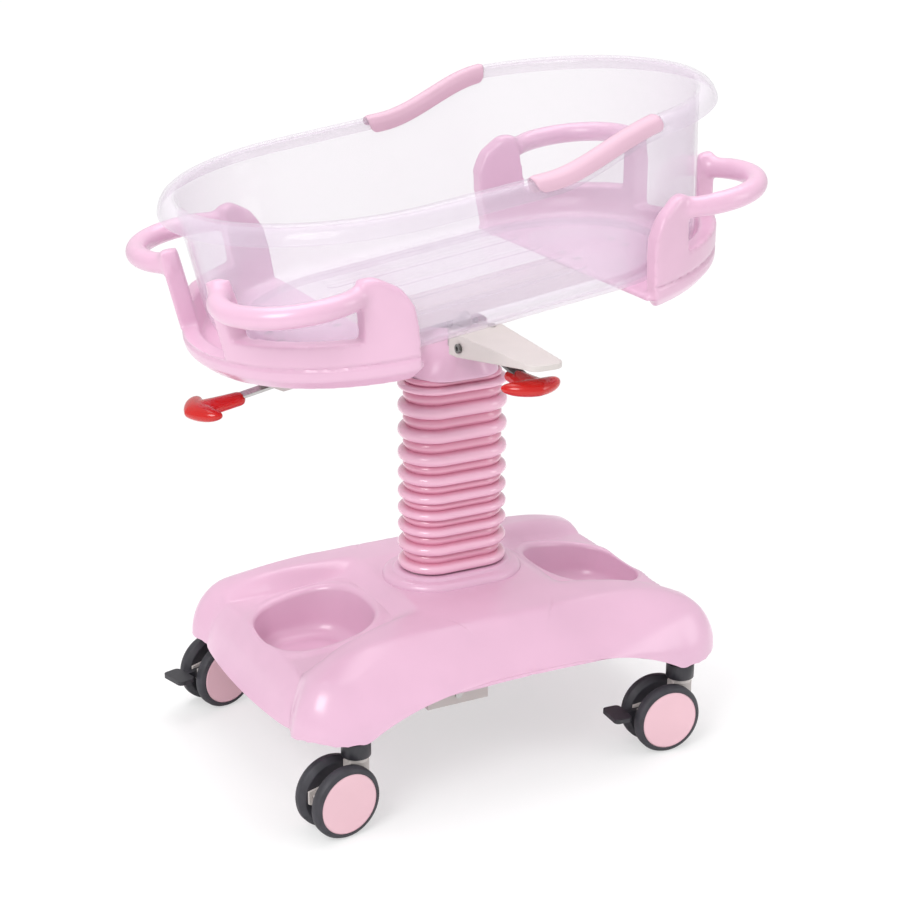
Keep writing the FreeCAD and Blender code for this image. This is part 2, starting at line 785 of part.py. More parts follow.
# ---------------------------------------------------------------- base frame
def base_frame():
    """A welded cross: a centre plate, four legs and a caster socket at each end."""
    pieces = [box("frame_centre",
                  ("0 - frame_plate_length / 2", "frame_plate_length / 2"),
                  ("0 - frame_plate_width / 2", "frame_plate_width / 2"),
                  ("frame_floor", "frame_floor + frame_plate"))]
    holes = []
    for corner, (x, y, swivel) in CASTERS.items():
        side_x, side_y = (1 if "head" in corner else -1), (1 if "back" in corner else -1)
        start_x, start_y = f"({side_x} * leg_start_x)", f"({side_y} * leg_start_y)"
        leg = box(f"{corner}_leg",
                  ("0", "sqrt((caster_reach_x - leg_start_x)^2 + (caster_reach_y - leg_start_y)^2)"),
                  ("0", "leg_width"), ("0", "leg_height"))
        slope = "atan2(caster_reach_y - leg_start_y; caster_reach_x - leg_start_x)"
        heading = {(1, 1): slope, (-1, 1): f"180 deg - {slope}",
                   (-1, -1): f"180 deg + {slope}", (1, -1): f"0 deg - {slope}"}[(side_x, side_y)]
        leg = group(f"{corner}_leg_turned", leg)
        leg.Placement = FreeCAD.Placement(Vector(), FreeCAD.Rotation(Vector(0, 0, 1), 1))
        bind(leg, {
            "Placement.Rotation.Angle": heading,
            "Placement.Base.x": f"{start_x} + leg_width / 2 * sin({heading})",
            "Placement.Base.y": f"{start_y} - leg_width / 2 * cos({heading})",
            "Placement.Base.z": "frame_floor",
        })
        socket_height = "stem_top - collar_bottom - collar_height"
        pieces += [leg, rod(f"{corner}_socket", "socket_radius",
                            (x, y, "collar_bottom + collar_height"), socket_height)]
        holes.append(rod(f"{corner}_socket_hole", "stem_radius",
                         (x, y, "collar_bottom"), "stem_top"))
    for x in (1, -1):
        for y in (1, -1):
            holes.append(rod(f"frame_bolt_hole_{x}_{y}".replace("-", "m"),
                             "column_bolt_radius",
                             (f"{x} * column_bolt_x", f"{y} * column_bolt_y", "collar_bottom"),
                             "frame_floor"))
    return cut("frame_form", fuse("frame_body", *pieces), *holes)


def cover_bracket(name, side):
    """A folded bracket under the plate; its flange carries the cover screw."""
    low, high = ("0 - bracket_left", "0 - bracket_right")
    if side > 0:
        low, high = "bracket_right", "bracket_left"
    near, far = ("0 - bracket_front", "bracket_depth - bracket_front")
    flange = ("0 - bracket_front", "sheet_steel - bracket_front")
    if side > 0:
        near, far = "bracket_front - bracket_depth", "bracket_front"
        flange = ("bracket_front - sheet_steel", "bracket_front")
    web = box(name + "_web", (low, high), (near, far), ("frame_floor - sheet_steel", "frame_floor"))
    face = box(name + "_face", (low, high), flange, ("frame_floor - bracket_drop", "frame_floor"))
    cheek = box(name + "_cheek", (low, f"{low} + sheet_steel"), (near, far),
                ("frame_floor - bracket_drop", "frame_floor"))
    hole = rod(name + "_hole", "cover_screw_radius",
               (f"({low} + {high}) / 2", f"{flange[0]} - 5", "cover_screw_height"), "20", "Y")
    return cut(name, fuse(name + "_solid", web, face, cheek), hole)


def cover_screw(name, side):
    """A pan-head screw whose head lies on the bracket's flange."""
    middle = f"({-side} * (0 - bracket_left - bracket_right) / 2)"
    face = "(0 - bracket_front)" if side < 0 else "bracket_front"
    shank_start = face if side < 0 else f"{face} - 10"
    head_start = f"{face} - 3" if side < 0 else face
    shank = rod(name + "_shank", "cover_screw_radius",
                (middle, shank_start, "cover_screw_height"), "10", "Y")
    head = rod(name + "_head", "2 * cover_screw_radius - 1",
               (middle, head_start, "cover_screw_height"), "3", "Y")
    return fuse(name, shank, head)


keep("base_frame", base_frame())
keep("cover_brackets", group("cover_bracket_set",
                             cover_bracket("bracket_fore", -1), cover_bracket("bracket_aft", 1)))
keep("cover_screws", group("cover_screw_set", cover_screw("screw_fore", -1),
                           cover_screw("screw_aft", 1)))


# ---------------------------------------------------------------- lift column
def stadium_tube(name, length, width, wall, bottom, top):
    half = f"(({length}) - ({width})) / 2"
    outer = stadium(name + "_outer", f"0 - {half}", half, f"({width}) / 2",
                    bottom, f"{top} - ({bottom})")
    inner = stadium(name + "_inner", f"0 - {half}", half, f"({width}) / 2 - ({wall})",
                    f"{bottom} - 1", f"{top} - ({bottom}) + 2")
    return outer, inner


def column_outer_tube():
    """The fixed tube, welded to a flange that bolts down on the frame's plate."""
    bottom = "frame_floor + frame_plate"
    outer, inner = stadium_tube("fixed_tube", "tube_length", "tube_width", "tube_wall",
                                bottom, "tube_top")
    flange = box("fixed_flange",
                 ("0 - foot_flange_length / 2", "foot_flange_length / 2"),
                 ("0 - foot_flange_width / 2", "foot_flange_width / 2"),
                 (bottom, f"{bottom} + foot_flange"))
    holes = [rod(f"flange_hole_{number}", "column_bolt_radius",
                 (f"{x} * column_bolt_x", f"{y} * column_bolt_y", "cover_bottom"),
                 "cover_bottom")
             for number, (x, y) in enumerate(((1, 1), (1, -1), (-1, 1), (-1, -1)))]
    hollow = cut("fixed_hollow", inner, box(
        "fixed_floor_keep", ("0 - tube_length", "tube_length"), ("0 - tube_width", "tube_width"),
        ("0", f"{bottom} + foot_flange")))
    return cut("fixed_tube_form", fuse("fixed_tube_body", outer, flange), hollow, *holes)


def column_bolt(name, x, y):
    top = "frame_floor + frame_plate + foot_flange"
    shank = rod(name + "_shank", "column_bolt_radius",
                (f"{x} * column_bolt_x", f"{y} * column_bolt_y", "frame_floor"),
                f"{top} - frame_floor")
    head = rod(name + "_head", "column_bolt_radius * 1.7",
               (f"{x} * column_bolt_x", f"{y} * column_bolt_y", top), "column_bolt_radius")
    return fuse(name, shank, head)


def column_guide_bush():
    """A plastic ring in the fixed tube's mouth that the moving tube slides through."""
    outer, inner = stadium_tube(
        "bush", "tube_length - 2 * tube_wall", "tube_width - 2 * tube_wall",
        "slide_gap - running_fit", "tube_top - bush_height", "tube_top")
    return cut("bush_form", outer, inner)


def column_inner_tube():
    outer, inner = stadium_tube(
        "moving_tube", "tube_length - 2 * (tube_wall + slide_gap)",
        "tube_width - 2 * (tube_wall + slide_gap)", "tube_wall - 0.5",
        "frame_floor + frame_plate + foot_flange + lift_down + bottom_gap", "head_bottom")
    return cut("moving_tube_form", outer, inner)


def lift_spring_cylinder():
    bottom = "frame_floor + frame_plate + foot_flange"
    barrel = rod("spring_barrel", "spring_radius", ("0", "0", bottom), f"spring_top - ({bottom})")
    bore = rod("spring_hollow", "spring_bore", ("0", "0", f"{bottom} + spring_gland"),
               f"spring_top - ({bottom}) - 2 * spring_gland")
    throat = rod("spring_throat", "rod_radius + running_fit",
                 ("0", "0", "spring_top - 2 * spring_gland"), "3 * spring_gland")
    return cut("spring_form", barrel, bore, throat)


def lift_spring_rod():
    top = "cheek_base - 1"
    shaft = rod("spring_rod", "rod_radius", ("0", "0", "piston_bottom"), f"{top} - piston_bottom")
    piston = rod("spring_piston", "spring_bore - piston_gap", ("0", "0", "piston_bottom"),
                 "piston_height")
    bore = rod("spring_rod_bore", "valve_radius + running_fit",
               ("0", "0", f"{top} - valve_depth"), "2 * valve_depth")
    return cut("rod_form", fuse("rod_body", shaft, piston), bore)


keep("column_outer_tube", column_outer_tube())
keep("column_bolts", group("column_bolt_set", *[
    column_bolt(f"column_bolt_{number}", x, y)
    for number, (x, y) in enumerate(((1, 1), (1, -1), (-1, 1), (-1, -1)))]))
keep("column_guide_bush", column_guide_bush())
keep("column_inner_tube", column_inner_tube())
keep("lift_spring_cylinder", lift_spring_cylinder())
keep("lift_spring_rod", lift_spring_rod())
VALVE_TOP = "lever_pivot_z - lever_thick / 2 - parting_gap"
VALVE_BOTTOM = "cheek_base - valve_depth + 8"
keep("release_valve_pin", rod("valve_pin_form", "valve_radius", ("0", "0", VALVE_BOTTOM),
                              f"{VALVE_TOP} - ({VALVE_BOTTOM})"))

FOLDS = 10


def bellows():
    """A folded rubber sleeve: a zigzag wall carried round the column's stadium plan."""
    half = "(bellows_length - bellows_width) / 2"
    pitch = f"((bellows_top - bellows_bottom) / {FOLDS})"
    edge = "bellows_width / 2"
    outside, inside = [], []
    for fold in range(FOLDS):
        low = f"bellows_bottom + {fold} * {pitch}"
        outside += [(f"{edge} - bellows_fold", low),
                    (f"{edge} - bellows_fold / 4", f"{low} + {pitch} * 0.18"),
                    (edge, f"{low} + {pitch} * 0.42"),
                    (f"{edge} - bellows_fold / 4", f"{low} + {pitch} * 0.7")]
    outside.append((f"{edge} - bellows_fold", "bellows_top"))
    inside = [(f"{x} - bellows_wall", z) for x, z in reversed(outside)]
    body = new_body("bellows_form")
    profile = sketch_in(body, "bellows_profile", "YZ")
    draw_lines(profile, outside + inside)
    straight = pad(body, profile, f"2 * {half}", middle=True)
    doc.recompute()
    ends = []
    for word, side in (("foot", -1), ("head", 1)):
        end = new_body(f"bellows_{word}_end")
        copy = sketch_in(end, f"bellows_{word}_profile", "YZ")
        draw_lines(copy, outside + inside)
        turn = end.newObject("PartDesign::Revolution", f"bellows_{word}_turn")
        turn.Profile = copy
        turn.ReferenceAxis = (copy, ["V_Axis"])
        turn.Angle = 360
        doc.recompute()
        keep_half = box(f"bellows_{word}_half",
                        ("0", "bellows_width") if side > 0 else ("0 - bellows_width", "0"),
                        ("0 - bellows_width", "bellows_width"), ("bellows_bottom - 1",
                                                                "bellows_top + 1"))
        half_end = common(f"bellows_{word}_half_turn", end, keep_half)
        ends.append(moved(half_end, f"{side} * {half}"))
    mirrored = doc.addObject("Part::Mirroring", "bellows_far_side")
    mirrored.Source = body
    mirrored.Normal = Vector(0, 1, 0)
    return fuse("bellows_whole", body, mirrored, *ends)


keep("bellows", bellows())


# ---------------------------------------------------------------- column head
def column_head():
    """The cast head: a plate on the moving tube, two pivot ears and the lever's cheeks."""
    half = "head_half_length - head_half_width"
    solid = [stadium("head_slab", f"0 - ({half})", half, "head_half_width", "head_bottom",
                     "head_plate")]
    for word, low, high in (("far", "ear_inner", "ear_inner + ear_thick"),
                            ("near", "0 - ear_inner - ear_thick", "0 - ear_inner")):
        solid.append(box(f"ear_{word}", ("0 - ear_half", "ear_half"), (low, high),
                         ("head_bottom", "pivot_height + ear_half")))
    solid.append(box("cheeks", ("lever_line - cheek_outer", "lever_line + cheek_outer"),
                     ("0 - cheek_front", "0 - ear_inner - ear_thick"),
                     ("cheek_base", "guard_top - sheet_steel")))
    slot = box("lever_slot", ("lever_line - slot_half", "lever_line + slot_half"),
               ("0 - cheek_front - 1", "slot_back"), ("cheek_base", "pivot_height - ear_inner"))
    mouth = box("lever_mouth", ("lever_line - slot_half", "lever_line + slot_half"),
                ("0 - cheek_front - 1", "0 - ear_inner - ear_thick - parting_gap"),
                ("cheek_base", "guard_top"))
    rod_hole = rod("rod_hole", "rod_radius", ("0", "0", "head_bottom - 1"), "head_plate + 5")
    pin_hole = rod("pivot_hole", "pivot_radius", ("0", "0 - head_half_width", "pivot_height"),
                   "2 * head_half_width", "Y")
    screw_holes = [rod(f"guard_screw_hole_{number}", "guard_screw_radius",
                       (f"lever_line + {side} * (cheek_outer + slot_half) / 2",
                        "0 - guard_screw_y", "guard_top - 15"), "20")
                   for number, side in enumerate((-1, 1))]
    return cut("head_form", fuse("head_body", *solid), slot, mouth, rod_hole, pin_hole,
               *screw_holes)


def head_shroud():
    """The moulded cover of the head, belled out to meet the bellows at its foot."""
    def form(name, inset, bottom, top):
        body = new_body(name)
        drawn = []
        sections = (("shroud_bottom_length", "shroud_bottom_width", bottom),
                    ("(shroud_bottom_length + 2 * shroud_waist_length) / 3",
                     "(shroud_bottom_width + 2 * shroud_waist_width) / 3",
                     "(2 * shroud_waist + 3 * bellows_top) / 5"),
                    ("shroud_waist_length", "shroud_waist_width", "shroud_waist"),
                    ("shroud_waist_length", "shroud_waist_width", top))
        for number, (length, width, height) in enumerate(sections):
            half = f"({length} - ({width})) / 2"
            sketch = sketch_in(body, f"{name}_section_{number}", "XY", height)
            draw_stadium(sketch, f"0 - {half}", half, f"({width}) / 2 - {inset}")
            drawn.append(sketch)
        loft = body.newObject("PartDesign::AdditiveLoft", name + "_loft")
        loft.Profile = drawn[0]
        loft.Sections = drawn[1:]
        loft.Ruled = True
        doc.recompute()
        return body
    outer = form("shroud_outer", "0", "bellows_top", "shroud_top")
    inner = form("shroud_inner", "shroud_wall", "bellows_top - 1", "shroud_top + 1")
    window = box("shroud_window",
                 ("lever_line - cheek_outer - parting_gap", "lever_line + cheek_outer + parting_gap"),
                 ("0 - shroud_bottom_width", "0 - ear_inner"),
                 ("cheek_base - 1", "shroud_top + 1"))
    return cut("shroud_form", outer, inner, window)


def lever_guard():
    """A tapered inverted channel over the height lever, rounded at its tip."""
    def outline(name, inset, bottom, height, root):
        body = plate(name, [
            (f"lever_line - guard_root_half + {inset}", f"0 - {root}"),
            (f"lever_line - guard_tip_half + {inset}", f"{inset} - guard_tip"),
            (f"lever_line + guard_tip_half - {inset}", f"{inset} - guard_tip"),
            (f"lever_line + guard_root_half - {inset}", f"0 - {root}"),
        ], height, height=bottom)
        return rounded(body, f"guard_tip_round - {inset}", lambda edge: upright(edge)
                       and edge.CenterOfMass.y < value("0 - guard_root - 10"))
    outer = outline("guard_outer", "0", "guard_top - guard_root_drop", "guard_root_drop",
                    "guard_root")
    hollow = outline("guard_hollow", "sheet_steel", "guard_top - guard_root_drop - 1",
                     "guard_root_drop + 1 - sheet_steel", "(guard_root - 5)")
    taper = plate("guard_taper", [
        ("0 - guard_root + 1", "guard_top - guard_root_drop - 20"),
        ("0 - guard_root + 1", "guard_top - guard_root_drop"),
        ("0 - guard_root - 20", "guard_top - guard_root_drop"),
        ("0 - guard_tip + guard_tip_round", "guard_top - guard_tip_drop"),
        ("0 - guard_tip - 5", "guard_top - guard_tip_drop"),
        ("0 - guard_tip - 5", "guard_top - guard_root_drop - 20"),
    ], "4 * guard_root_half", "YZ", middle=True)
    pivot = rod("guard_pivot_hole", "lever_bolt_radius",
                ("lever_line - 2 * guard_root_half", "0 - lever_pivot_y", "lever_pivot_z"),
                "4 * guard_root_half", "X")
    screws = [rod(f"guard_hole_{number}", "guard_screw_radius",
                  (f"lever_line + {side} * (cheek_outer + slot_half) / 2",
                   "0 - guard_screw_y", "guard_top - 15"), "20")
              for number, side in enumerate((-1, 1))]
    return cut("guard_form", outer, hollow, taper, pivot, *screws)


def guard_screw(name, side):
    middle = f"lever_line + {side} * (cheek_outer + slot_half) / 2"
    shank = rod(name + "_shank", "guard_screw_radius",
                (middle, "0 - guard_screw_y", "guard_top - 15"), "15")
    head = rod(name + "_head", "2 * guard_screw_radius - 1",
               (middle, "0 - guard_screw_y", "guard_top"), "guard_screw_radius")
    return fuse(name, shank, head)


def height_lever_bolt():
    """The socket-head bolt that the height lever swings on."""
    half = ("(guard_root_half + 0.6 - (guard_root_half - guard_tip_half)"
            " * (lever_pivot_y - guard_root) / (guard_tip - guard_root))")
    shank = rod("lever_bolt_shank", "lever_bolt_radius",
                (f"lever_line - {half}", "0 - lever_pivot_y", "lever_pivot_z"), f"2 * {half}", "X")
    head = rod("lever_bolt_head", "lever_bolt_radius * 1.6",
               (f"lever_line - {half} - lever_bolt_radius", "0 - lever_pivot_y", "lever_pivot_z"),
               "lever_bolt_radius", "X")
    nut = rod("lever_bolt_nut", "lever_bolt_radius * 1.6",
              (f"lever_line + {half}", "0 - lever_pivot_y", "lever_pivot_z"),
              "lever_bolt_radius", "X")
    socket = rod("lever_bolt_socket", "lever_bolt_radius * 0.8",
                 (f"lever_line - {half} - lever_bolt_radius - 1", "0 - lever_pivot_y",
                  "lever_pivot_z"), "lever_bolt_radius", "X")
    return cut("lever_bolt_form", fuse("lever_bolt_body", shank, head, nut), socket)


def tilt_stop(name, x, y):
    """A rubber post that the spine's web meets at the end of the tilt."""
    low = "head_bottom + head_plate" if y > 0 else "guard_top - sheet_steel"
    high = ("spine_bottom - (stop_x + stop_radius) * sin(tilt_travel)"
            " - (pivot_height - spine_bottom) * cos(tilt_travel) - stop_gap")
    return rod(name, "stop_radius", (f"{x} * stop_x", f"{y} * stop_y", low), f"{high} - ({low})")


keep("column_head", column_head())
keep("head_shroud", head_shroud())
keep("lever_guard", lever_guard())
keep("guard_screws", group("guard_screw_set", guard_screw("guard_screw_left", -1),
                           guard_screw("guard_screw_right", 1)))
keep("height_lever_bolt", height_lever_bolt())
keep("tilt_stops", group("tilt_stop_set", *[
    tilt_stop(f"tilt_stop_{number}", x, y)
    for number, (x, y) in enumerate(((1, 1), (1, -1), (-1, 1), (-1, -1)))]))
keep("tilt_pivot_pin", rod(
    "pivot_pin_form", "pivot_radius",
    ("0", "0 - ear_inner - ear_thick - 2", "pivot_height"),
    "2 * (ear_inner + ear_thick + 2)", "Y"))


def friction_disc(name, start):
    disc = rod(name + "_disc", "disc_radius", ("0", start, "pivot_height"),
               "ear_inner - hanger_half_y - parting_gap", "Y")
    hole = rod(name + "_hole", "pivot_radius", ("0", "0 - head_half_width", "pivot_height"),
               "2 * head_half_width", "Y")
    return cut(name, disc, hole)


keep("tilt_friction_discs", group(
    "friction_disc_set", friction_disc("disc_far", "hanger_half_y + parting_gap"),
    friction_disc("disc_near", "0 - ear_inner")))


# ---------------------------------------------------------------- the two squeeze levers
def grip_outline(root, reach, line):
    """A T seen from above: a stem from the root to a bar across the end."""
    half, stem = "grip_width / 2", "grip_stem_width / 2"
    return [
        (f"{line} - {stem} * 0.8", f"0 - {root}"),
        (f"{line} - {stem}", f"grip_depth / 2 - ({reach}) + 4"),
        (f"{line} - {half}", f"grip_depth / 2 - ({reach}) - 4"),
        (f"{line} - {half}", f"0 - ({reach}) + 2"),
        (f"{line} - {half} * 0.6", f"0 - grip_depth / 2 - ({reach}) + 6"),
        (f"{line} - {half} * 0.2", f"0 - grip_depth / 2 - ({reach})"),
        (f"{line} + {half} * 0.2", f"0 - grip_depth / 2 - ({reach})"),
        (f"{line} + {half} * 0.6", f"0 - grip_depth / 2 - ({reach}) + 6"),
        (f"{line} + {half}", f"0 - ({reach}) + 2"),
        (f"{line} + {half}", f"grip_depth / 2 - ({reach}) - 4"),
        (f"{line} + {stem}", f"grip_depth / 2 - ({reach}) + 4"),
        (f"{line} + {stem} * 0.8", f"0 - {root}"),
    ]


def squeeze_grip(name, root, reach, line, middle):
    """The moulded T grip, flat in its own plane, hollow where the strip enters it."""
    return plate(name, grip_outline(root, reach, line), "grip_thick",
                 height=f"{middle} - grip_thick / 2")


STRIP_END = "20"


def height_lever():
    """A bent steel strip on the pivot bolt, with its T grip below the guard."""
    slope = ("((lever_pivot_z - lever_end_z) / (lever_reach - lever_pivot_y))")
    thick = "lever_thick / 2"
    strip = plate("height_strip", [
        ("lever_tail", f"lever_pivot_z - {thick}"),
        ("lever_tail", f"lever_pivot_z + {thick}"),
        ("0 - lever_pivot_y", f"lever_pivot_z + {thick}"),
        (f"{STRIP_END} - lever_reach", f"lever_end_z + {STRIP_END} * {slope} + {thick}"),
        (f"{STRIP_END} - lever_reach", f"lever_end_z + {STRIP_END} * {slope} - {thick}"),
        ("0 - lever_pivot_y", f"lever_pivot_z - {thick}"),
    ], "lever_strip", "YZ", middle=True)
    strip = group("height_strip_placed", strip)
    moved(strip, "lever_line")
    barrel = rod("height_barrel", "lever_barrel",
                 ("lever_line - lever_barrel_half", "0 - lever_pivot_y", "lever_pivot_z"),
                 "2 * lever_barrel_half", "X")
    hole = rod("height_barrel_hole", "lever_bolt_radius + running_fit",
               ("lever_line - 2 * lever_barrel_half", "0 - lever_pivot_y", "lever_pivot_z"),
               "4 * lever_barrel_half", "X")
    bar = cut("height_bar_form", fuse("height_bar_body", strip, barrel), hole)
    grip = squeeze_grip("height_grip_body", "(lever_reach - grip_stem)", "lever_reach",
                        "lever_line", "lever_end_z")
    shaped = cut("height_grip_form", grip, group("height_strip_copy", strip))
    return bar, shaped


bar, grip = height_lever()
keep("height_lever_bar", bar)
keep("height_lever_grip", grip)


def tilt_lever():
    """The same lever at the foot end, with an upright arm that pushes the release rod."""
    thick = "lever_thick / 2"
    slope = "((tilt_pivot_z - tilt_end_z) / (tilt_reach - tilt_pivot_x))"
    strip = plate("tilt_strip", [
        ("0 - tilt_pivot_x", f"tilt_pivot_z + {thick}"),
        (f"{STRIP_END} - tilt_reach", f"tilt_end_z + {STRIP_END} * {slope} + {thick}"),
        (f"{STRIP_END} - tilt_reach", f"tilt_end_z + {STRIP_END} * {slope} - {thick}"),
        ("0 - tilt_pivot_x", f"tilt_pivot_z - {thick}"),
    ], "lever_strip", "XZ", middle=True)
    arm = box("tilt_arm", ("0 - tilt_pivot_x - lever_thick", "0 - tilt_pivot_x"),
              ("0 - lever_strip / 2", "lever_strip / 2"),
              ("tilt_pivot_z", "release_rod_z + 2 * release_rod_radius"))
    barrel = rod("tilt_barrel", "lever_barrel",
                 ("0 - tilt_pivot_x", "0 - lever_strip / 2", "tilt_pivot_z"), "lever_strip", "Y")
    hole = rod("tilt_barrel_hole", "lever_bolt_radius + running_fit",
               ("0 - tilt_pivot_x", "0 - lever_strip", "tilt_pivot_z"), "2 * lever_strip", "Y")
    bar = cut("tilt_bar_form", fuse("tilt_bar_body", strip, arm, barrel), hole)
    form = plate("tilt_grip_body", [
        (f"{y}", f"0 - ({x})") for x, y in
        grip_outline("(tilt_reach - grip_stem)", "tilt_reach", "0")],
        "grip_thick", height="tilt_end_z - grip_thick / 2")
    shaped = cut("tilt_grip_form", form, group("tilt_strip_copy", strip))
    return bar, shaped


def tilt_lever_bracket():
    """The folded bracket under the spine that holds the tilt lever's bolt."""
    ear = "(tilt_pivot_z - tilt_bracket_bottom + 1)"
    whole = plate("tilt_bracket_whole", [
        ("0 - tilt_bracket_far", "spine_top - sheet_steel"),
        ("0 - tilt_bracket_far", "tilt_bracket_heel"),
        (f"0 - tilt_pivot_x - {ear}", "tilt_bracket_bottom"),
        (f"{ear} - tilt_pivot_x", "tilt_bracket_bottom"),
        ("0 - tilt_bracket_near", "tilt_bracket_heel"),
        ("0 - tilt_bracket_near", "spine_top - sheet_steel"),
    ], "2 * tilt_bracket_half", "XZ", middle=True)
    hollow = box("tilt_bracket_hollow",
                 ("0 - tilt_bracket_far - 1", "1 - tilt_bracket_near"),
                 ("sheet_steel - tilt_bracket_half", "tilt_bracket_half - sheet_steel"),
                 ("tilt_bracket_bottom - 1", "spine_top - 2 * sheet_steel"))
    hole = rod("tilt_bracket_hole", "lever_bolt_radius",
               ("0 - tilt_pivot_x", "0 - spine_half_width", "tilt_pivot_z"),
               "2 * spine_half_width", "Y")
    return cut("tilt_bracket_form", whole, hollow, hole)


bar, grip = tilt_lever()
keep("tilt_lever_bar", on_cradle(bar))
keep("tilt_lever_grip", on_cradle(grip))
keep("tilt_lever_bracket", on_cradle(tilt_lever_bracket()))
keep("tilt_lever_bolt", on_cradle(group("tilt_bolt_form", rod(
    "tilt_bolt_bar", "lever_bolt_radius",
    ("0 - tilt_pivot_x", "0 - tilt_bracket_half - 2", "tilt_pivot_z"),
    "2 * tilt_bracket_half + 4", "Y"))))
keep("tilt_release_rod", on_cradle(group("release_rod_form", rod(
    "release_rod_bar", "release_rod_radius",
    ("parting_gap - tilt_pivot_x", "0", "release_rod_z"),
    "tilt_pivot_x - release_rod_end - parting_gap", "X"))))


# ---------------------------------------------------------------- cradle
def cradle_spine():
    """A folded channel under the tub with the pivot hanger and the rod's two guides."""
    low, high = "cradle_middle - spine_half_length", "cradle_middle + spine_half_length"
    whole = box("spine_whole", (low, high), ("0 - spine_half_width", "spine_half_width"),
                ("spine_bottom", "spine_top"))
    hollow = box("spine_hollow", (f"{low} - 1", f"{high} + 1"),
                 ("sheet_steel - spine_half_width", "spine_half_width - sheet_steel"),
                 ("spine_bottom - 1", "spine_top - sheet_steel"))
    channel = cut("spine_channel", whole, hollow)
    hanger = box("spine_hanger", ("0 - hanger_half_x", "hanger_half_x"),
                 ("0 - hanger_half_y", "hanger_half_y"), ("hanger_bottom", "spine_top - 1"))
    guides = [box(f"rod_guide_{word}", (f"0 - {x} - sheet_steel", f"0 - {x}"),
                  ("1 - spine_half_width", "spine_half_width - 1"),
                  ("spine_bottom", "spine_top - 1"))
              for word, x in (("far", "guide_x_far"), ("near", "guide_x_near"))]
    bore = rod("hanger_bore", "pivot_radius + bush_wall",
               ("0", "0 - spine_half_width", "pivot_height"), "2 * spine_half_width", "Y")
    slide = rod("guide_bore", "release_rod_radius + running_fit",
                ("0 - tilt_pivot_x", "0", "release_rod_z"), "tilt_pivot_x - release_rod_end", "X")
    screws = [rod(f"spine_screw_hole_{number}", "support_screw_radius", (x, y, "spine_bottom"),
                  "2 * support_wall + 10") for number, (x, y) in enumerate(SCREW_PLACES)]
    return cut("spine_form", fuse("spine_body", channel, hanger, *guides), bore, slide, *screws)


SCREW_PLACES = [
    (f"cradle_middle + {side} * {reach}", f"{across} * support_screw_y")
    for side in (-1, 1) for reach in ("support_screw_near", "support_screw_far")
    for across in (-1, 1)
]


def support_screw(name, x, y):
    """A countersunk screw down through the support's floor into the spine."""
    top = "spine_top + support_floor"
    head = "(support_screw_radius - 1)"
    shank = rod(name + "_shank", "support_screw_radius", (x, y, "spine_top - 12"),
                f"{top} - spine_top + 11")
    cap = rod(name + "_head", "2 * support_screw_radius", (x, y, f"{top} - 1 - {head}"), head)
    return fuse(name, shank, cap)


def tilt_bush(name, start):
    ring = rod(name + "_ring", "pivot_radius + bush_wall", ("0", start, "pivot_height"),
               "hanger_half_y - 1", "Y")
    hole = rod(name + "_hole", "pivot_radius + running_fit",
               ("0", "0 - spine_half_width", "pivot_height"), "2 * spine_half_width", "Y")
    return cut(name, ring, hole)


SUPPORT_LOW = "(tub_radius - tub_low_in + support_gap + support_wall)"
SUPPORT_HIGH = "(tub_radius + support_gap + support_wall)"
SUPPORT_END = f"(support_centre + {SUPPORT_HIGH})"


def support_cone(name, low, high):
    """A leaning wall face round the support's centre, as a solid."""
    cone = doc.addObject("Part::Cone", name)
    bind(cone, {"Radius1": low, "Radius2": high, "Height": "support_top - support_bottom"})
    moved(cone, "support_centre", "0", "support_bottom")
    return turned(cone, Vector(0, 0, 1), "180")


def support_handle(name, side):
    """A round grab handle: part of a ring from the post out and round to the panel."""
    ring = doc.addObject("Part::Torus", name)
    bind(ring, {"Radius1": "handle_loop", "Radius2": "handle_radius",
                "Angle3": "handle_post_angle + handle_panel_angle"})
    turned(ring, Vector(0, 0, 1),
           "0 - handle_post_angle" if side > 0 else "0 - handle_panel_angle")
    return moved(ring, f"{SUPPORT_END} - handle_in_x",
                 f"{side} * ({SUPPORT_HIGH} - handle_in_y)", "handle_height")


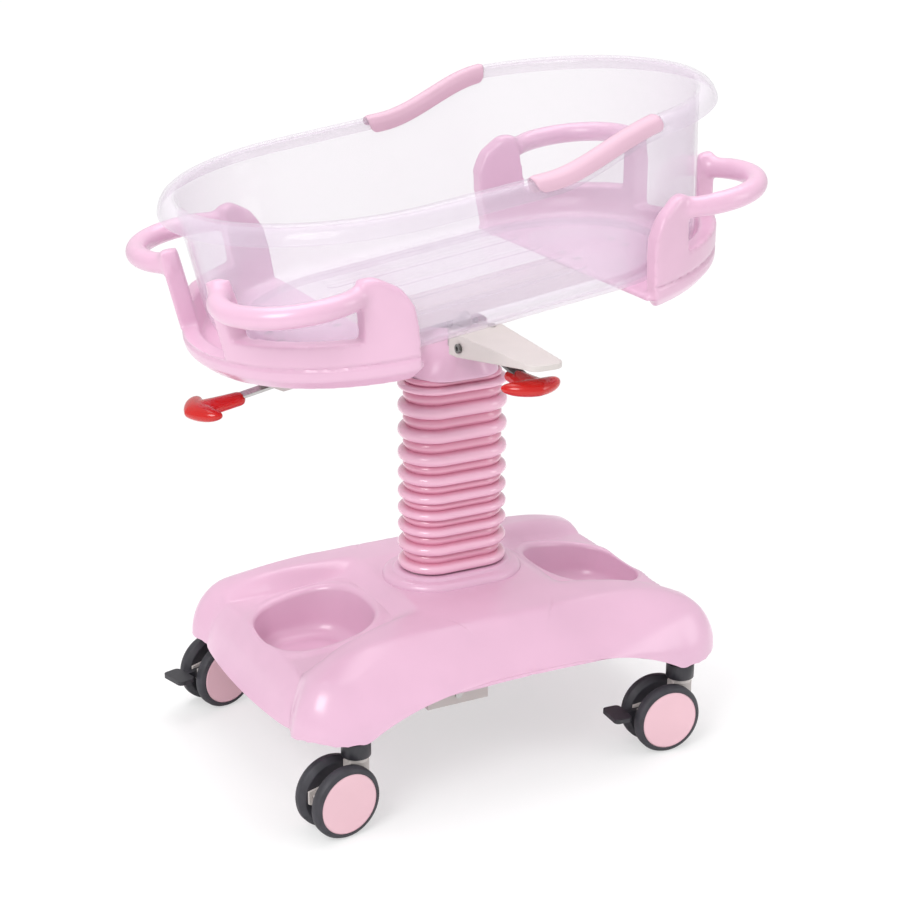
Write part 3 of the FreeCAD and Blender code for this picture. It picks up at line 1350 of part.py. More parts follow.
def head_end_support():
    """One end support, drawn about the cradle's middle with the head end along +X."""
    outer = common("support_outer", support_cone("support_face", SUPPORT_LOW, SUPPORT_HIGH),
                   support_cone("support_underside", f"{SUPPORT_LOW} - support_lip",
                                f"{SUPPORT_LOW} - support_lip + support_top - support_bottom"))
    inner = support_cone("support_inner", f"{SUPPORT_LOW} - support_wall",
                         f"{SUPPORT_HIGH} - support_wall")
    wall = cut("support_wall_ring", outer, inner)
    disc = rod("support_floor_disc", f"{SUPPORT_LOW} - support_wall / 3",
               ("support_centre", "0", "spine_top"), "support_floor")
    turned(disc, Vector(0, 0, 1), "180")
    edge = f"({SUPPORT_END} - panel_length)"
    floor = common("support_floor_slab", disc, box(
        "support_floor_block", (f"{edge} - 8", SUPPORT_END),
        (f"0 - {SUPPORT_LOW}", SUPPORT_LOW), ("spine_top", "spine_top + support_floor")))
    panel_top = f"({SUPPORT_END} - panel_top_length)"
    inner_edge = plate("support_edge_cut", [
        (f"0 - {SUPPORT_END}", "support_bottom - 5"),
        (f"{edge} + 10", "support_bottom - 5"),
        (f"{edge} + 8", "support_bottom + 1"),
        (edge, "support_bottom + support_lip + 2"),
        (edge, "panel_curve_z - 30"),
        (f"{edge} + 3", "panel_curve_z"),
        (f"{edge} + 17", "(2 * panel_curve_z + support_top) / 3 + 12"),
        (panel_top, "support_top"),
        (panel_top, "support_top + 5"),
        (f"0 - {SUPPORT_END}", "support_top + 5"),
    ], f"4 * {SUPPORT_HIGH}", "XZ", middle=True)
    window_span = (f"{SUPPORT_END} - window_length", f"{SUPPORT_END} + 10")
    windows = []
    for word, low, high in (("far", "post_outer", f"{SUPPORT_HIGH} + 10"),
                            ("near", f"0 - {SUPPORT_HIGH} - 10", "0 - post_outer")):
        windows.append(box(f"window_{word}", window_span, (low, high),
                           ("window_bottom", "support_top + 1")))
    dip = box("support_dip", window_span, ("0 - post_inner", "post_inner"),
              ("low_wall_top", "support_top + 1"))
    holes = [rod(f"support_hole_{number}", "support_screw_radius",
                 (x.replace("cradle_middle + ", ""), y, "spine_top - 1"), "support_floor + 2")
             for number, (x, y) in enumerate(SCREW_PLACES[4:])]
    heads = [rod(f"support_head_{number}", "2 * support_screw_radius",
                 (x.replace("cradle_middle + ", ""), y,
                  "spine_top + support_floor - support_screw_radius"), "support_floor")
             for number, (x, y) in enumerate(SCREW_PLACES[4:])]
    for number, tool in enumerate((inner_edge, *windows, dip)):
        wall = cut(f"support_wall_cut_{number}", wall, tool)
    shell = fuse("support_wall_floor", wall, floor)
    handles = [support_handle("handle_far", 1), support_handle("handle_near", -1)]
    return cut("support_form", fuse("support_body", shell, *handles), *holes, *heads)


keep("cradle_spine", on_cradle(cradle_spine()))
keep("support_screws", on_cradle(group("support_screw_set", *[
    support_screw(f"support_screw_{number}", x, y)
    for number, (x, y) in enumerate(SCREW_PLACES)])))
keep("tilt_bushes", on_cradle(group(
    "tilt_bush_set", tilt_bush("bush_far", "1"), tilt_bush("bush_near", "0 - hanger_half_y"))))
head_support = head_end_support()
foot_support = doc.addObject("Part::Mirroring", "foot_support_form")
foot_support.Source = head_support
foot_support.Normal = Vector(1, 0, 0)
for node, form in (("head_support", head_support), ("foot_support", foot_support)):
    shifted = group(node + "_shifted", form)
    moved(shifted, "cradle_middle")
    keep(node, on_cradle(group(node + "_placed", shifted)))


# ---------------------------------------------------------------- tub
RIM_RADIUS = "(tub_radius + rim_overhang)"


def rim_band(name, drop, depth):
    """An S-shaped band across the tub that steps from the foot rim up to the head rim."""
    low, high = f"rim_foot_z - ({drop})", f"rim_head_z - ({drop})"
    reach = f"(tub_head + 2 * {RIM_RADIUS})"
    band = plate(name, [
        (f"0 - {reach}", low), ("rim_step_start", low), ("rim_step_end", high), (reach, high),
        (reach, f"{high} - ({depth})"), ("rim_step_end", f"{high} - ({depth})"),
        ("rim_step_start", f"{low} - ({depth})"), (f"0 - {reach}", f"{low} - ({depth})"),
    ], f"4 * {RIM_RADIUS}", "XZ", middle=True)

    def bend(edge):
        middle = edge.CenterOfMass
        return edge.BoundBox.YLength > value(RIM_RADIUS) and min(
            abs(middle.x - value("rim_step_start")), abs(middle.x - value("rim_step_end"))) < 1
    return rounded(band, "rim_bend", bend)


def tub_wall_loft(name, inset, lift):
    sections = [
        (f"tub_radius - tub_base_in - {inset}", f"tub_bottom + {lift}"),
        (f"tub_radius - tub_heel_in - {inset}", f"tub_heel_z + {lift}"),
        (f"tub_radius - tub_low_in - {inset}", f"tub_low_z + {lift} / 2"),
        (f"tub_radius - {inset}", "tub_high_z"),
        (f"tub_radius - {inset}", "tub_blank_top"),
    ]
    return stadium_loft(name, "tub_foot", "tub_head", sections)


def ring_block(name, radius, bottom, top):
    return stadium(name, "tub_foot", "tub_head", radius, bottom, f"{top} - ({bottom})")


def tub():
    """The clear shell: a stadium basin with a rolled rim and a raised floor platform."""
    outer, inner = tub_wall_loft("tub_outer", "0", "0"), tub_wall_loft(
        "tub_inner", "tub_wall", "tub_wall")
    above = rim_band("tub_above", "rim_depth / 2 - 100", "100")
    shell = cut("tub_shell", outer, inner, above)
    rim = common("tub_rim_band", rim_band("rim_outer_band", "0", "rim_depth"),
                 ring_block("rim_outer_block", RIM_RADIUS, "tub_high_z - 30", "tub_blank_top + 20"))
    throat = ring_block("rim_throat", "tub_radius - tub_wall", "tub_bottom",
                        "tub_blank_top + 30")
    groove_outer = ring_block("rim_groove_outer", f"{RIM_RADIUS} - tub_wall", "tub_high_z - 40",
                              "tub_blank_top + 20")
    groove = cut("rim_groove_ring", groove_outer, ring_block(
        "rim_groove_inner", "tub_radius", "tub_high_z - 50", "tub_blank_top + 30"))
    under = common("rim_groove", groove, rim_band("rim_groove_band", "tub_wall", "rim_depth"))
    rolled = cut("tub_rim", rim, throat, under)
    platform = ring_block("platform_block", "tub_radius - platform_in",
                          "tub_bottom + tub_wall / 2", "tub_bottom + tub_wall + platform_rise")
    hollow = ring_block("platform_hollow", "tub_radius - platform_in - tub_wall", "tub_bottom - 1",
                        "tub_bottom + platform_rise")
    slots = []
    for number, line in enumerate((-1.5, -0.5, 0.5, 1.5)):
        slots.append(box(
            f"platform_slot_{number}",
            ("(tub_foot + tub_head - slot_length) / 2", "(tub_foot + tub_head + slot_length) / 2"),
            (f"{line} * slot_pitch - slot_width / 2", f"{line} * slot_pitch + slot_width / 2"),
            ("tub_bottom + tub_wall + platform_rise - slot_depth",
             "tub_bottom + tub_wall + platform_rise + 1")))
    return cut("tub_form", fuse("tub_body", shell, rolled, platform), hollow, *slots)


def rim_pad(name, side):
    """A soft strip laid over the rim's step on one long side."""
    cover = common(name + "_cover", rim_band(name + "_band", "0 - pad_thick",
                                             "rim_depth + pad_thick - 2"),
                   ring_block(name + "_block", f"{RIM_RADIUS} + pad_thick", "tub_high_z - 30",
                              "tub_blank_top + 30"))
    core = common(name + "_core", rim_band(name + "_core_band", "0", "2 * rim_depth"),
                  ring_block(name + "_core_block", RIM_RADIUS, "tub_high_z - 50",
                             "tub_blank_top + 40"))
    inside = ring_block(name + "_inside", f"{RIM_RADIUS} - pad_width", "tub_high_z - 50",
                        "tub_blank_top + 40")
    window = box(name + "_window", ("pad_start", "pad_end"),
                 ("0", f"2 * {RIM_RADIUS}") if side > 0 else (f"0 - 2 * {RIM_RADIUS}", "0"),
                 ("tub_high_z - 60", "tub_blank_top + 50"))
    return common(name, cut(name + "_strip", cover, core, inside), window)


keep("tub", on_cradle(tub()))
keep("rim_pad_near", on_cradle(rim_pad("pad_near", -1)))
keep("rim_pad_far", on_cradle(rim_pad("pad_far", 1)))


# ---------------------------------------------------------------- checks and export
doc.recompute()
for thing in doc.Objects:
    if "Invalid" in thing.State or "Error" in thing.State:
        raise RuntimeError(f"{thing.Name} did not recompute: {thing.State}")
for node, thing in NODES.items():
    shape = thing.Shape
    if shape.isNull() or not shape.isValid() or not shape.Solids:
        raise RuntimeError(f"{node} has no valid solid")

os.makedirs("parts", exist_ok=True)
for node, thing in NODES.items():
    thing.Shape.exportStep(f"parts/{node}.step")
    extent = thing.Shape.BoundBox
    print(f"{node:28s} {len(thing.Shape.Solids)} solid(s)  {thing.Shape.Volume / 1000:9.1f} cm3"
          f"  x {extent.XMin:7.1f} {extent.XMax:7.1f}  y {extent.YMin:7.1f} {extent.YMax:7.1f}"
          f"  z {extent.ZMin:7.1f} {extent.ZMax:7.1f}")
print(len(NODES), "nodes")
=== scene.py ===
"""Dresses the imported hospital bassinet: base, column, cradle, tub, levers, casters and stage."""
import json
import math

import bmesh
import bpy
import numpy as np
from bpy.props import FloatProperty, FloatVectorProperty, IntProperty, PointerProperty
from mathutils import Matrix, Vector


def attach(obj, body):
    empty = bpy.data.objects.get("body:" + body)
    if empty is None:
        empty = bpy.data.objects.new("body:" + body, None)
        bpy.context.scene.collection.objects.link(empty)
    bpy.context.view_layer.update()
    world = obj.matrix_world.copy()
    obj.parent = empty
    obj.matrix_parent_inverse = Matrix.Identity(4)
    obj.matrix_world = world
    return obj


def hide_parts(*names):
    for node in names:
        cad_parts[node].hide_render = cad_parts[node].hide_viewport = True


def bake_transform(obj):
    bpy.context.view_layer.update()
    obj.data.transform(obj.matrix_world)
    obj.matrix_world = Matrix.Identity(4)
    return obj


bl_info = {
    "name": "Hospital Bassinet",
    "version": (1, 0, 0),
    "blender": (4, 5, 0),
    "location": "View3D > Sidebar > Bassinet",
    "description": "Dresses the packed bassinet: base, column, cradle, tub, levers and casters",
    "category": "Add Mesh",
}

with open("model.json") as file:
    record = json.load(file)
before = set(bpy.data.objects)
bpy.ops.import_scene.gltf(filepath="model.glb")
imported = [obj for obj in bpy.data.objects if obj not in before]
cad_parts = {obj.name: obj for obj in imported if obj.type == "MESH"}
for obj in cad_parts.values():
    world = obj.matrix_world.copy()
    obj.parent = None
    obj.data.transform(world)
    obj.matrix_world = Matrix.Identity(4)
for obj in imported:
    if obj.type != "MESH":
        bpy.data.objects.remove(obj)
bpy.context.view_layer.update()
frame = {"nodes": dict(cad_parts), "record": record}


# ---------------------------------------------------------------- what a user may change
def length(label, description, default):
    return FloatProperty(name=label, description=description, default=default, unit="LENGTH")


def colour(label, description, default):
    return FloatVectorProperty(name=label, description=description, default=default,
                               subtype="COLOR", size=3, min=0, max=1)


class BassinetSizes(bpy.types.PropertyGroup):
    """Sizes of the pieces that are modelled here, in metres."""

    cover_half_length: length("Cover half length", "Middle of the base to its end", 0.332)
    cover_half_width: length("Cover half width", "Middle of the base to its long side", 0.2335)
    cover_corner: length("Cover corner", "Radius of the base's corners in plan", 0.078)
    cover_crown: length("Cover crown", "Height of the flat top round the column", 0.238)
    cover_wall: length("Cover wall", "Thickness of the moulded shell", 0.0035)
    cover_hem: length("Cover hem", "Height of the cover's bottom edge at the legs", 0.123)
    arch_half_span: length("Arch half span", "Half the arch along a side", 0.243)
    arch_rise: length("Arch rise", "Height of the arch over the hem", 0.048)
    recess_reach: length("Recess reach", "Middle of the base to a recess's middle", 0.215)
    recess_half_length: length("Recess half length", "Half a recess along the base", 0.077)
    recess_half_width: length("Recess half width", "Half a recess across the base", 0.083)
    recess_floor: length("Recess floor", "Height of a recess's floor", 0.142)
    bellows_half: length("Bellows half width", "Middle of the column to a fold's crest", 0.048)
    bellows_straight: length("Bellows straight", "Half the straight side of a fold", 0.032)
    fold_depth: length("Fold depth", "A fold's crest to its crease", 0.0105)
    tilt_pivot: length("Tilt pivot", "Height of the pin that the cradle tilts on", 0.614)
    cradle_middle: length("Cradle middle", "Column axis to the middle of the cradle", 0.005)
    support_centre: length("Support centre", "Cradle middle to a support's centre", 0.134)
    support_seam: length("Support seam", "Height of the seam over a support's lip", 0.659)
    tub_foot: length("Tub foot centre", "Centre of the foot end's half circle", -0.126)
    tub_head: length("Tub head centre", "Centre of the head end's half circle", 0.147)
    rim_foot: length("Rim at the foot", "Height of the rim's crest at the foot end", 0.842)
    rim_head: length("Rim at the head", "Height of the rim's crest at the head end", 0.880)
    rim_radius: length("Rim radius", "Outer radius of the rim round an end", 0.252)
    rest_tilt: FloatProperty(name="Rest tilt", description="Tilt of the cradle at rest",
                             default=math.radians(7.5), subtype="ANGLE")
    spin_steps: IntProperty(name="Spin steps", description="Facets round a spun form",
                            default=130, min=18)


class BassinetColours(bpy.types.PropertyGroup):
    """Colours of the finishes."""

    shell: colour("Shell pink", "Gloss of the base and the cradle's ends", (0.685, 0.425, 0.565))
    rubber: colour("Bellows pink", "Moulded rubber of the bellows", (0.780, 0.450, 0.580))
    # The crease colour is painted shade: it darkens the bellows' rubber down in their folds.
    crease: colour("Crease painted shade", "Painted shade down in the bellows' creases", (0.640, 0.235, 0.350))
    pad: colour("Pad pink", "Soft strips on the rim", (0.600, 0.385, 0.480))
    cap: colour("Cap pink", "Discs on the wheels", (0.760, 0.490, 0.550))
    cream: colour("Cream", "Painted steel and the caster housings", (0.585, 0.540, 0.520))
    red: colour("Red", "Squeeze grips", (0.520, 0.004, 0.002))
    tyre: colour("Tyre grey", "Tyres, collars and brake pedals", (0.028, 0.027, 0.034))
    steel: colour("Steel", "Bare steel", (0.520, 0.510, 0.500))
    clear: colour("Clear", "Tint of the tub", (0.655, 0.565, 0.665))
    floor: colour("Floor", "Studio floor", (0.930, 0.930, 0.930))


def sizes():
    return bpy.context.scene.bassinet_sizes


def colours():
    return bpy.context.scene.bassinet_colours


# ---------------------------------------------------------------- modelling helpers
def eased(value, low, high):
    """0 below low, 1 above high and smooth between."""
    step = np.clip((np.asarray(value, dtype=float) - low) / (high - low), 0, 1)
    return step * step * (3 - 2 * step)


def select_only(piece):
    bpy.ops.object.select_all(action="DESELECT")
    piece.select_set(True)
    bpy.context.view_layer.objects.active = piece


def edit_whole(piece):
    select_only(piece)
    bpy.ops.object.mode_set(mode="EDIT")
    bpy.ops.mesh.select_all(action="SELECT")


def leave_edit():
    bpy.ops.object.mode_set(mode="OBJECT")


def apply(piece, kind, **settings):
    """Add one modifier with its settings and apply it."""
    modifier = piece.modifiers.new(kind.lower(), kind)
    for setting, value in settings.items():
        setattr(modifier, setting, value)
    select_only(piece)
    bpy.ops.object.modifier_apply(modifier=modifier.name)
    return piece


def points_of(piece):
    """The piece's vertices as rows of x, y, z."""
    place = np.empty(len(piece.data.vertices) * 3)
    piece.data.vertices.foreach_get("co", place)
    return place.reshape(-1, 3)


def set_points(piece, place):
    piece.data.vertices.foreach_set("co", np.asarray(place, dtype=float).ravel())
    piece.data.update()


def tidy_mesh(piece, merge=0.00002):
    """Merge doubles and turn the faces outwards."""
    edit_whole(piece)
    bpy.ops.mesh.remove_doubles(threshold=merge)
    bpy.ops.mesh.normals_make_consistent(inside=False)
    leave_edit()
    return piece


def smooth(piece, angle=50):
    select_only(piece)
    bpy.ops.object.shade_smooth_by_angle(angle=math.radians(angle))
    return piece


def drawn(name, points, loops):
    """A new piece from points and the edges or faces that join them."""
    mesh = bpy.data.meshes.new(name)
    mesh.from_pydata([tuple(point) for point in points],
                     [loop for loop in loops if len(loop) == 2],
                     [loop for loop in loops if len(loop) > 2])
    piece = bpy.data.objects.new(name, mesh)
    bpy.context.scene.collection.objects.link(piece)
    return piece


def spun(name, profile, closed=False, steps=None):
    """Draw a profile of (radius, height) points and spin it once about the Z axis."""
    count = len(profile)
    edges = [(i, (i + 1) % count) for i in range(count if closed else count - 1)]
    piece = drawn(name, [(radius, 0, height) for radius, height in profile], edges)
    edit_whole(piece)
    bpy.ops.mesh.spin(steps=steps or sizes().spin_steps, angle=2 * math.pi,
                      center=(0, 0, 0), axis=(0, 0, 1))
    leave_edit()
    return tidy_mesh(piece)


def parted(piece, head, foot):
    """Slide the head half of a spun form along +X and the foot half along -X."""
    place = points_of(piece)
    height = place[:, 2]
    head_shift = head(height) if callable(head) else head
    foot_shift = foot(height) if callable(foot) else foot
    place[:, 0] += np.where(place[:, 0] > 0.00001, head_shift,
                            np.where(place[:, 0] < -0.00001, foot_shift, 0))
    set_points(piece, place)
    return piece


def lattice(name, rows, wrap=False):
    """A sheet of quads through equally long rows of points."""
    count = len(rows[0])
    points = [point for row in rows for point in row]
    last = count if wrap else count - 1
    quads = [(r * count + c, r * count + (c + 1) % count,
              (r + 1) * count + (c + 1) % count, (r + 1) * count + c)
             for r in range(len(rows) - 1) for c in range(last)]
    return drawn(name, points, quads)


def capped(piece):
    """Close a tube's open ends."""
    edit_whole(piece)
    bpy.ops.mesh.select_all(action="DESELECT")
    bpy.ops.mesh.select_non_manifold()
    bpy.ops.mesh.fill_holes(sides=0)
    leave_edit()
    return tidy_mesh(piece)


def moulded_copy(name, node, voxel, relax):
    """A copy of a CAD node with its edges melted as a mould leaves them."""
    source = frame["nodes"][node]
    piece = source.copy()
    piece.data = source.data.copy()
    piece.name = name
    piece.data.name = name
    for key in list(piece.keys()):
        del piece[key]
    piece.parent = None
    bpy.context.scene.collection.objects.link(piece)
    tidy_mesh(piece)
    apply(piece, "REMESH", mode="VOXEL", voxel_size=voxel, use_smooth_shade=True)
    apply(piece, "SMOOTH", factor=0.5, iterations=relax)
    return piece


def subtract(piece, cutter):
    """Cut one piece out of another and throw the cutter away."""
    apply(piece, "BOOLEAN", operation="DIFFERENCE", solver="EXACT", object=cutter)
    bpy.data.objects.remove(cutter)
    return piece


def softened(node, width, segments=2, angle=35):
    """Round a CAD node's edges with live modifiers, its own mesh left as it is."""
    piece = frame["nodes"][node]
    weld = piece.modifiers.new("weld", "WELD")
    weld.merge_threshold = 0.00002
    bevel = piece.modifiers.new("soft_edges", "BEVEL")
    bevel.width = width
    bevel.segments = segments
    bevel.limit_method = "ANGLE"
    bevel.angle_limit = math.radians(angle)
    bevel.harden_normals = True
    return piece


def cradle_turn(piece):
    """Tilt a piece drawn level to the cradle's rest angle about the pivot pin."""
    pivot = Matrix.Translation((0, 0, sizes().tilt_pivot))
    turn = Matrix.Rotation(-sizes().rest_tilt, 4, "Y")
    piece.data.transform(pivot @ turn @ pivot.inverted())
    piece.data.update()
    return piece


def dress(piece, material, body, node, slot, *others):
    """Give a new piece its material and its body, and hide the CAD nodes it stands for. The slot
    is not used.
    """
    piece.data.materials.clear()
    piece.data.materials.append(material)
    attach(piece, body)
    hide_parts(node, *others)
    return piece


# ---------------------------------------------------------------- materials
def new_material(name):
    """A material with an empty node tree, its shader and its output."""
    material = bpy.data.materials.new(name)
    material.use_nodes = True
    tree = material.node_tree
    return material, tree, tree.nodes["Principled BSDF"]


def object_noise(tree, scale, detail=3, stretch=None):
    """A noise pattern fixed to the object's own space."""
    where = tree.nodes.new("ShaderNodeTexCoord")
    noise = tree.nodes.new("ShaderNodeTexNoise")
    noise.inputs["Scale"].default_value = scale
    noise.inputs["Detail"].default_value = detail
    if stretch:
        mapping = tree.nodes.new("ShaderNodeMapping")
        mapping.inputs["Scale"].default_value = stretch
        tree.links.new(where.outputs["Object"], mapping.inputs["Vector"])
        tree.links.new(mapping.outputs["Vector"], noise.inputs["Vector"])
    else:
        tree.links.new(where.outputs["Object"], noise.inputs["Vector"])
    return noise


def ramp(tree, source, low, high, start=0.35, end=0.65):
    """Carry a pattern from one colour to another."""
    band = tree.nodes.new("ShaderNodeValToRGB")
    for element, place, tone in zip(band.color_ramp.elements, (start, end), (low, high)):
        element.position = place
        element.color = (*tone, 1)
    tree.links.new(source.outputs["Fac"], band.inputs["Fac"])
    return band.outputs["Color"]


def map_range(tree, value, low, high, start=0.0, end=1.0):
    """Carry a number that runs from start to end to one from low to high."""
    span = tree.nodes.new("ShaderNodeMapRange")
    for socket, number in (("From Min", start), ("From Max", end), ("To Min", low),
                           ("To Max", high)):
        span.inputs[socket].default_value = number
    tree.links.new(value, span.inputs["Value"])
    return span.outputs["Result"]


def sum_node(tree, operation, first, second):
    """Work out one sum on a socket and a second socket or plain number."""
    node = tree.nodes.new("ShaderNodeMath")
    node.operation = operation
    tree.links.new(first, node.inputs[0])
    if isinstance(second, float):
        node.inputs[1].default_value = second
    else:
        tree.links.new(second, node.inputs[1])
    return node.outputs["Value"]


def vector_length(tree, vector):
    node = tree.nodes.new("ShaderNodeVectorMath")
    node.operation = "LENGTH"
    tree.links.new(vector, node.inputs[0])
    return node.outputs["Value"]


def add_bump(tree, shader, source, strength, distance):
    bump = tree.nodes.new("ShaderNodeBump")
    bump.inputs["Strength"].default_value = strength
    bump.inputs["Distance"].default_value = distance
    tree.links.new(source.outputs["Fac"], bump.inputs["Height"])
    tree.links.new(bump.outputs["Normal"], shader.inputs["Normal"])


def shade(base, factor):
    return tuple(min(1.0, part * factor) for part in base)


def moulded_plastic(name, base, roughness, coat=0.0, tone=0.03, peel=0.03):
    """Moulded plastic: slow colour drift, a little orange peel and patchy gloss."""
    material, tree, shader = new_material(name)
    tint = ramp(tree, object_noise(tree, 9), shade(base, 1 - tone), shade(base, 1 + tone))
    tree.links.new(tint, shader.inputs["Base Color"])
    patch = object_noise(tree, 26).outputs["Fac"]
    gloss = map_range(tree, patch, roughness * 0.88, roughness * 1.12)
    tree.links.new(gloss, shader.inputs["Roughness"])
    add_bump(tree, shader, object_noise(tree, 420, 2), peel, 0.0004)
    shader.inputs["Coat Weight"].default_value = coat
    shader.inputs["Coat Roughness"].default_value = 0.16
    shader.inputs["IOR"].default_value = 1.5
    return material


def rubber_with_painted_crease_shade(name, crest, crease, roughness):
    """Glossy rubber of the bellows, with painted shade down in its creases: darker the deeper a
    point lies in a fold.
    """
    size = sizes()
    material = moulded_plastic(name, crest, roughness, coat=0.8, peel=0.02)
    tree = material.node_tree
    shader = tree.nodes["Principled BSDF"]
    where = tree.nodes.new("ShaderNodeTexCoord")
    parts = tree.nodes.new("ShaderNodeSeparateXYZ")
    tree.links.new(where.outputs["Object"], parts.inputs["Vector"])
    past_straight = sum_node(tree, "ABSOLUTE", parts.outputs["X"], 0.0)
    past_straight = sum_node(tree, "SUBTRACT", past_straight, size.bellows_straight)
    past_straight = sum_node(tree, "MAXIMUM", past_straight, 0.0)
    flat = tree.nodes.new("ShaderNodeCombineXYZ")
    tree.links.new(past_straight, flat.inputs["X"])
    tree.links.new(parts.outputs["Y"], flat.inputs["Y"])
    radius = vector_length(tree, flat.outputs["Vector"])
    # Painted shade: the crease colour is mixed in where a point lies deep in a fold, darkest at
    # the crease.
    height = map_range(tree, radius, 0.0, 1.0, size.bellows_half - size.fold_depth,
                       size.bellows_half - size.fold_depth * 0.2)
    mix = tree.nodes.new("ShaderNodeMix")
    mix.data_type = "RGBA"
    mix.inputs["A"].default_value = (*crease, 1)
    tree.links.new(height, mix.inputs["Factor"])
    tree.links.new(shader.inputs["Base Color"].links[0].from_socket, mix.inputs["B"])
    tree.links.new(mix.outputs["Result"], shader.inputs["Base Color"])
    return material


def painted_steel(name, base, roughness):
    """Powder-coated steel: fine texture and faint unevenness."""
    material, tree, shader = new_material(name)
    tint = ramp(tree, object_noise(tree, 14), shade(base, 0.97), shade(base, 1.03))
    tree.links.new(tint, shader.inputs["Base Color"])
    shader.inputs["Roughness"].default_value = roughness
    add_bump(tree, shader, object_noise(tree, 1500, 2), 0.10, 0.0003)
    return material


def brushed_steel(name, base, roughness, stretch=(60, 1, 60)):
    """Bare steel with fine lines along its length."""
    material, tree, shader = new_material(name)
    lines = object_noise(tree, 14, 4, stretch)
    tint = ramp(tree, lines, shade(base, 0.82), shade(base, 1.1))
    tree.links.new(tint, shader.inputs["Base Color"])
    gloss = map_range(tree, lines.outputs["Fac"], roughness * 0.7, roughness * 1.3)
    tree.links.new(gloss, shader.inputs["Roughness"])
    shader.inputs["Metallic"].default_value = 1.0
    add_bump(tree, shader, lines, 0.05, 0.0002)
    return material


def tyre_rubber(name, base, roughness):
    """Grey tyre rubber, paler where it has scuffed."""
    material, tree, shader = new_material(name)
    tint = ramp(tree, object_noise(tree, 60, 5), base, shade(base, 1.5), 0.4, 0.75)
    tree.links.new(tint, shader.inputs["Base Color"])
    scuffs = object_noise(tree, 90, 4).outputs["Fac"]
    gloss = map_range(tree, scuffs, roughness * 0.85, roughness * 1.15)
    tree.links.new(gloss, shader.inputs["Roughness"])
    add_bump(tree, shader, object_noise(tree, 700, 3), 0.12, 0.0003)
    return material


def clear_plastic(name, tint):
    """Clear moulded plastic: faintly milky, thicker to the eye where it turns away."""
    material, tree, shader = new_material(name)
    milk = ramp(tree, object_noise(tree, 4), shade(tint, 0.98), tint)
    tree.links.new(milk, shader.inputs["Base Color"])
    facing = tree.nodes.new("ShaderNodeLayerWeight")
    facing.inputs["Blend"].default_value = 0.35
    cover = map_range(tree, facing.outputs["Facing"], 0.125, 0.52)
    tree.links.new(cover, shader.inputs["Alpha"])
    shader.inputs["Roughness"].default_value = 0.12
    shader.inputs["IOR"].default_value = 1.45
    shader.inputs["Coat Weight"].default_value = 0.6
    add_bump(tree, shader, object_noise(tree, 24, 2), 0.05, 0.002)
    return material


MATERIALS = {}


def make_materials():
    """Make every finish once, named as the record names its slots."""
    tone = colours()
    MATERIALS.update({
        "pink_shell": moulded_plastic("pink_shell", tone.shell, 0.32, coat=0.35),
        # The bellows' rubber carries painted shade in its creases.
        "pink_rubber": rubber_with_painted_crease_shade("pink_rubber", tone.rubber, tone.crease, 0.20),
        "pink_pad": moulded_plastic("pink_pad", tone.pad, 0.42),
        "pink_cap": moulded_plastic("pink_cap", tone.cap, 0.38),
        "cream_plastic": moulded_plastic("cream_plastic", tone.cream, 0.40),
        "red_plastic": moulded_plastic("red_plastic", tone.red, 0.22, coat=0.15, tone=0.05),
        "black_plastic": moulded_plastic("black_plastic", shade(tone.tyre, 0.8), 0.38),
        "white_plastic": moulded_plastic("white_plastic", (0.78, 0.78, 0.77), 0.45),
        "cream_paint": painted_steel("cream_paint", tone.cream, 0.36),
        "plain_steel": brushed_steel("plain_steel", tone.steel, 0.30),
        "dark_steel": brushed_steel("dark_steel", shade(tone.steel, 0.35), 0.38),
        "cast_alloy": brushed_steel("cast_alloy", shade(tone.steel, 1.1), 0.5, (1, 1, 1)),
        "tyre_rubber": tyre_rubber("tyre_rubber", tone.tyre, 0.55),
        "clear_plastic": clear_plastic("clear_plastic", tone.clear),
    })


# ---------------------------------------------------------------- base cover
def valley_line(x):
    """Where the crease between a sunk end field and a leg lobe runs: |y| for |x|."""
    return (0.088 + np.maximum(x - 0.134, 0) * 0.225 + np.maximum(x - 0.231, 0) * 0.11
            + np.maximum(x - 0.293, 0) * 0.33)


def rim_step(x, y):
    """0 on the edge of a sunk end field, below 0 in it and 1 on the crest round it."""
    reach_x, reach_y = np.abs(x), np.abs(y)
    lobe = (reach_y - valley_line(reach_x)) / 0.028
    collar = (0.130 - reach_x) / 0.034
    return -soft_least(-lobe, -collar, 0.7)


def end_bow(x, y):
    """How far the plan's end is drawn in: a bowed end field, then a notch at each leg."""
    reach = np.abs(y)
    bow = 0.011 * np.minimum(reach / 0.148, 1) ** 2 * (1 - eased(reach, 0.150, 0.185))
    notch = 0.003 * np.exp(-np.abs(reach - 0.146) / 0.008)
    return eased(np.abs(x), 0.270, 0.300) * (bow + notch)


def cover_outline(count):
    """Half the base's plan, from the front middle round the foot end to the back middle."""
    size = sizes()
    long, wide, corner = size.cover_half_length, size.cover_half_width, size.cover_corner
    turns = np.linspace(0, math.pi / 2, 40)
    quarter = [(0.0, -wide)]
    quarter += [(-(long - corner) - corner * math.sin(a), -(wide - corner) - corner * math.cos(a))
                for a in turns]
    quarter.append((-long, 0.0))
    half = np.array(quarter + [(x, -y) for x, y in quarter[-2::-1]])
    run = np.concatenate([[0], np.cumsum(np.hypot(*np.diff(half, axis=0).T))])
    along = np.linspace(0, run[-1], count)
    line = np.column_stack([np.interp(along, run, half[:, 0]), np.interp(along, run, half[:, 1])])
    line[:, 0] += end_bow(line[:, 0], line[:, 1])
    return line


def cover_hem(x, y):
    """Height of the cover's bottom edge, arched along the sides."""
    size = sizes()
    share = np.minimum(np.abs(x) / size.arch_half_span, 1)
    corner = eased(np.abs(x), 0.280, 0.310) * eased(np.abs(y), 0.170, 0.200)
    return size.cover_hem + size.arch_rise * (1 - share ** 3.0) + 0.004 * corner


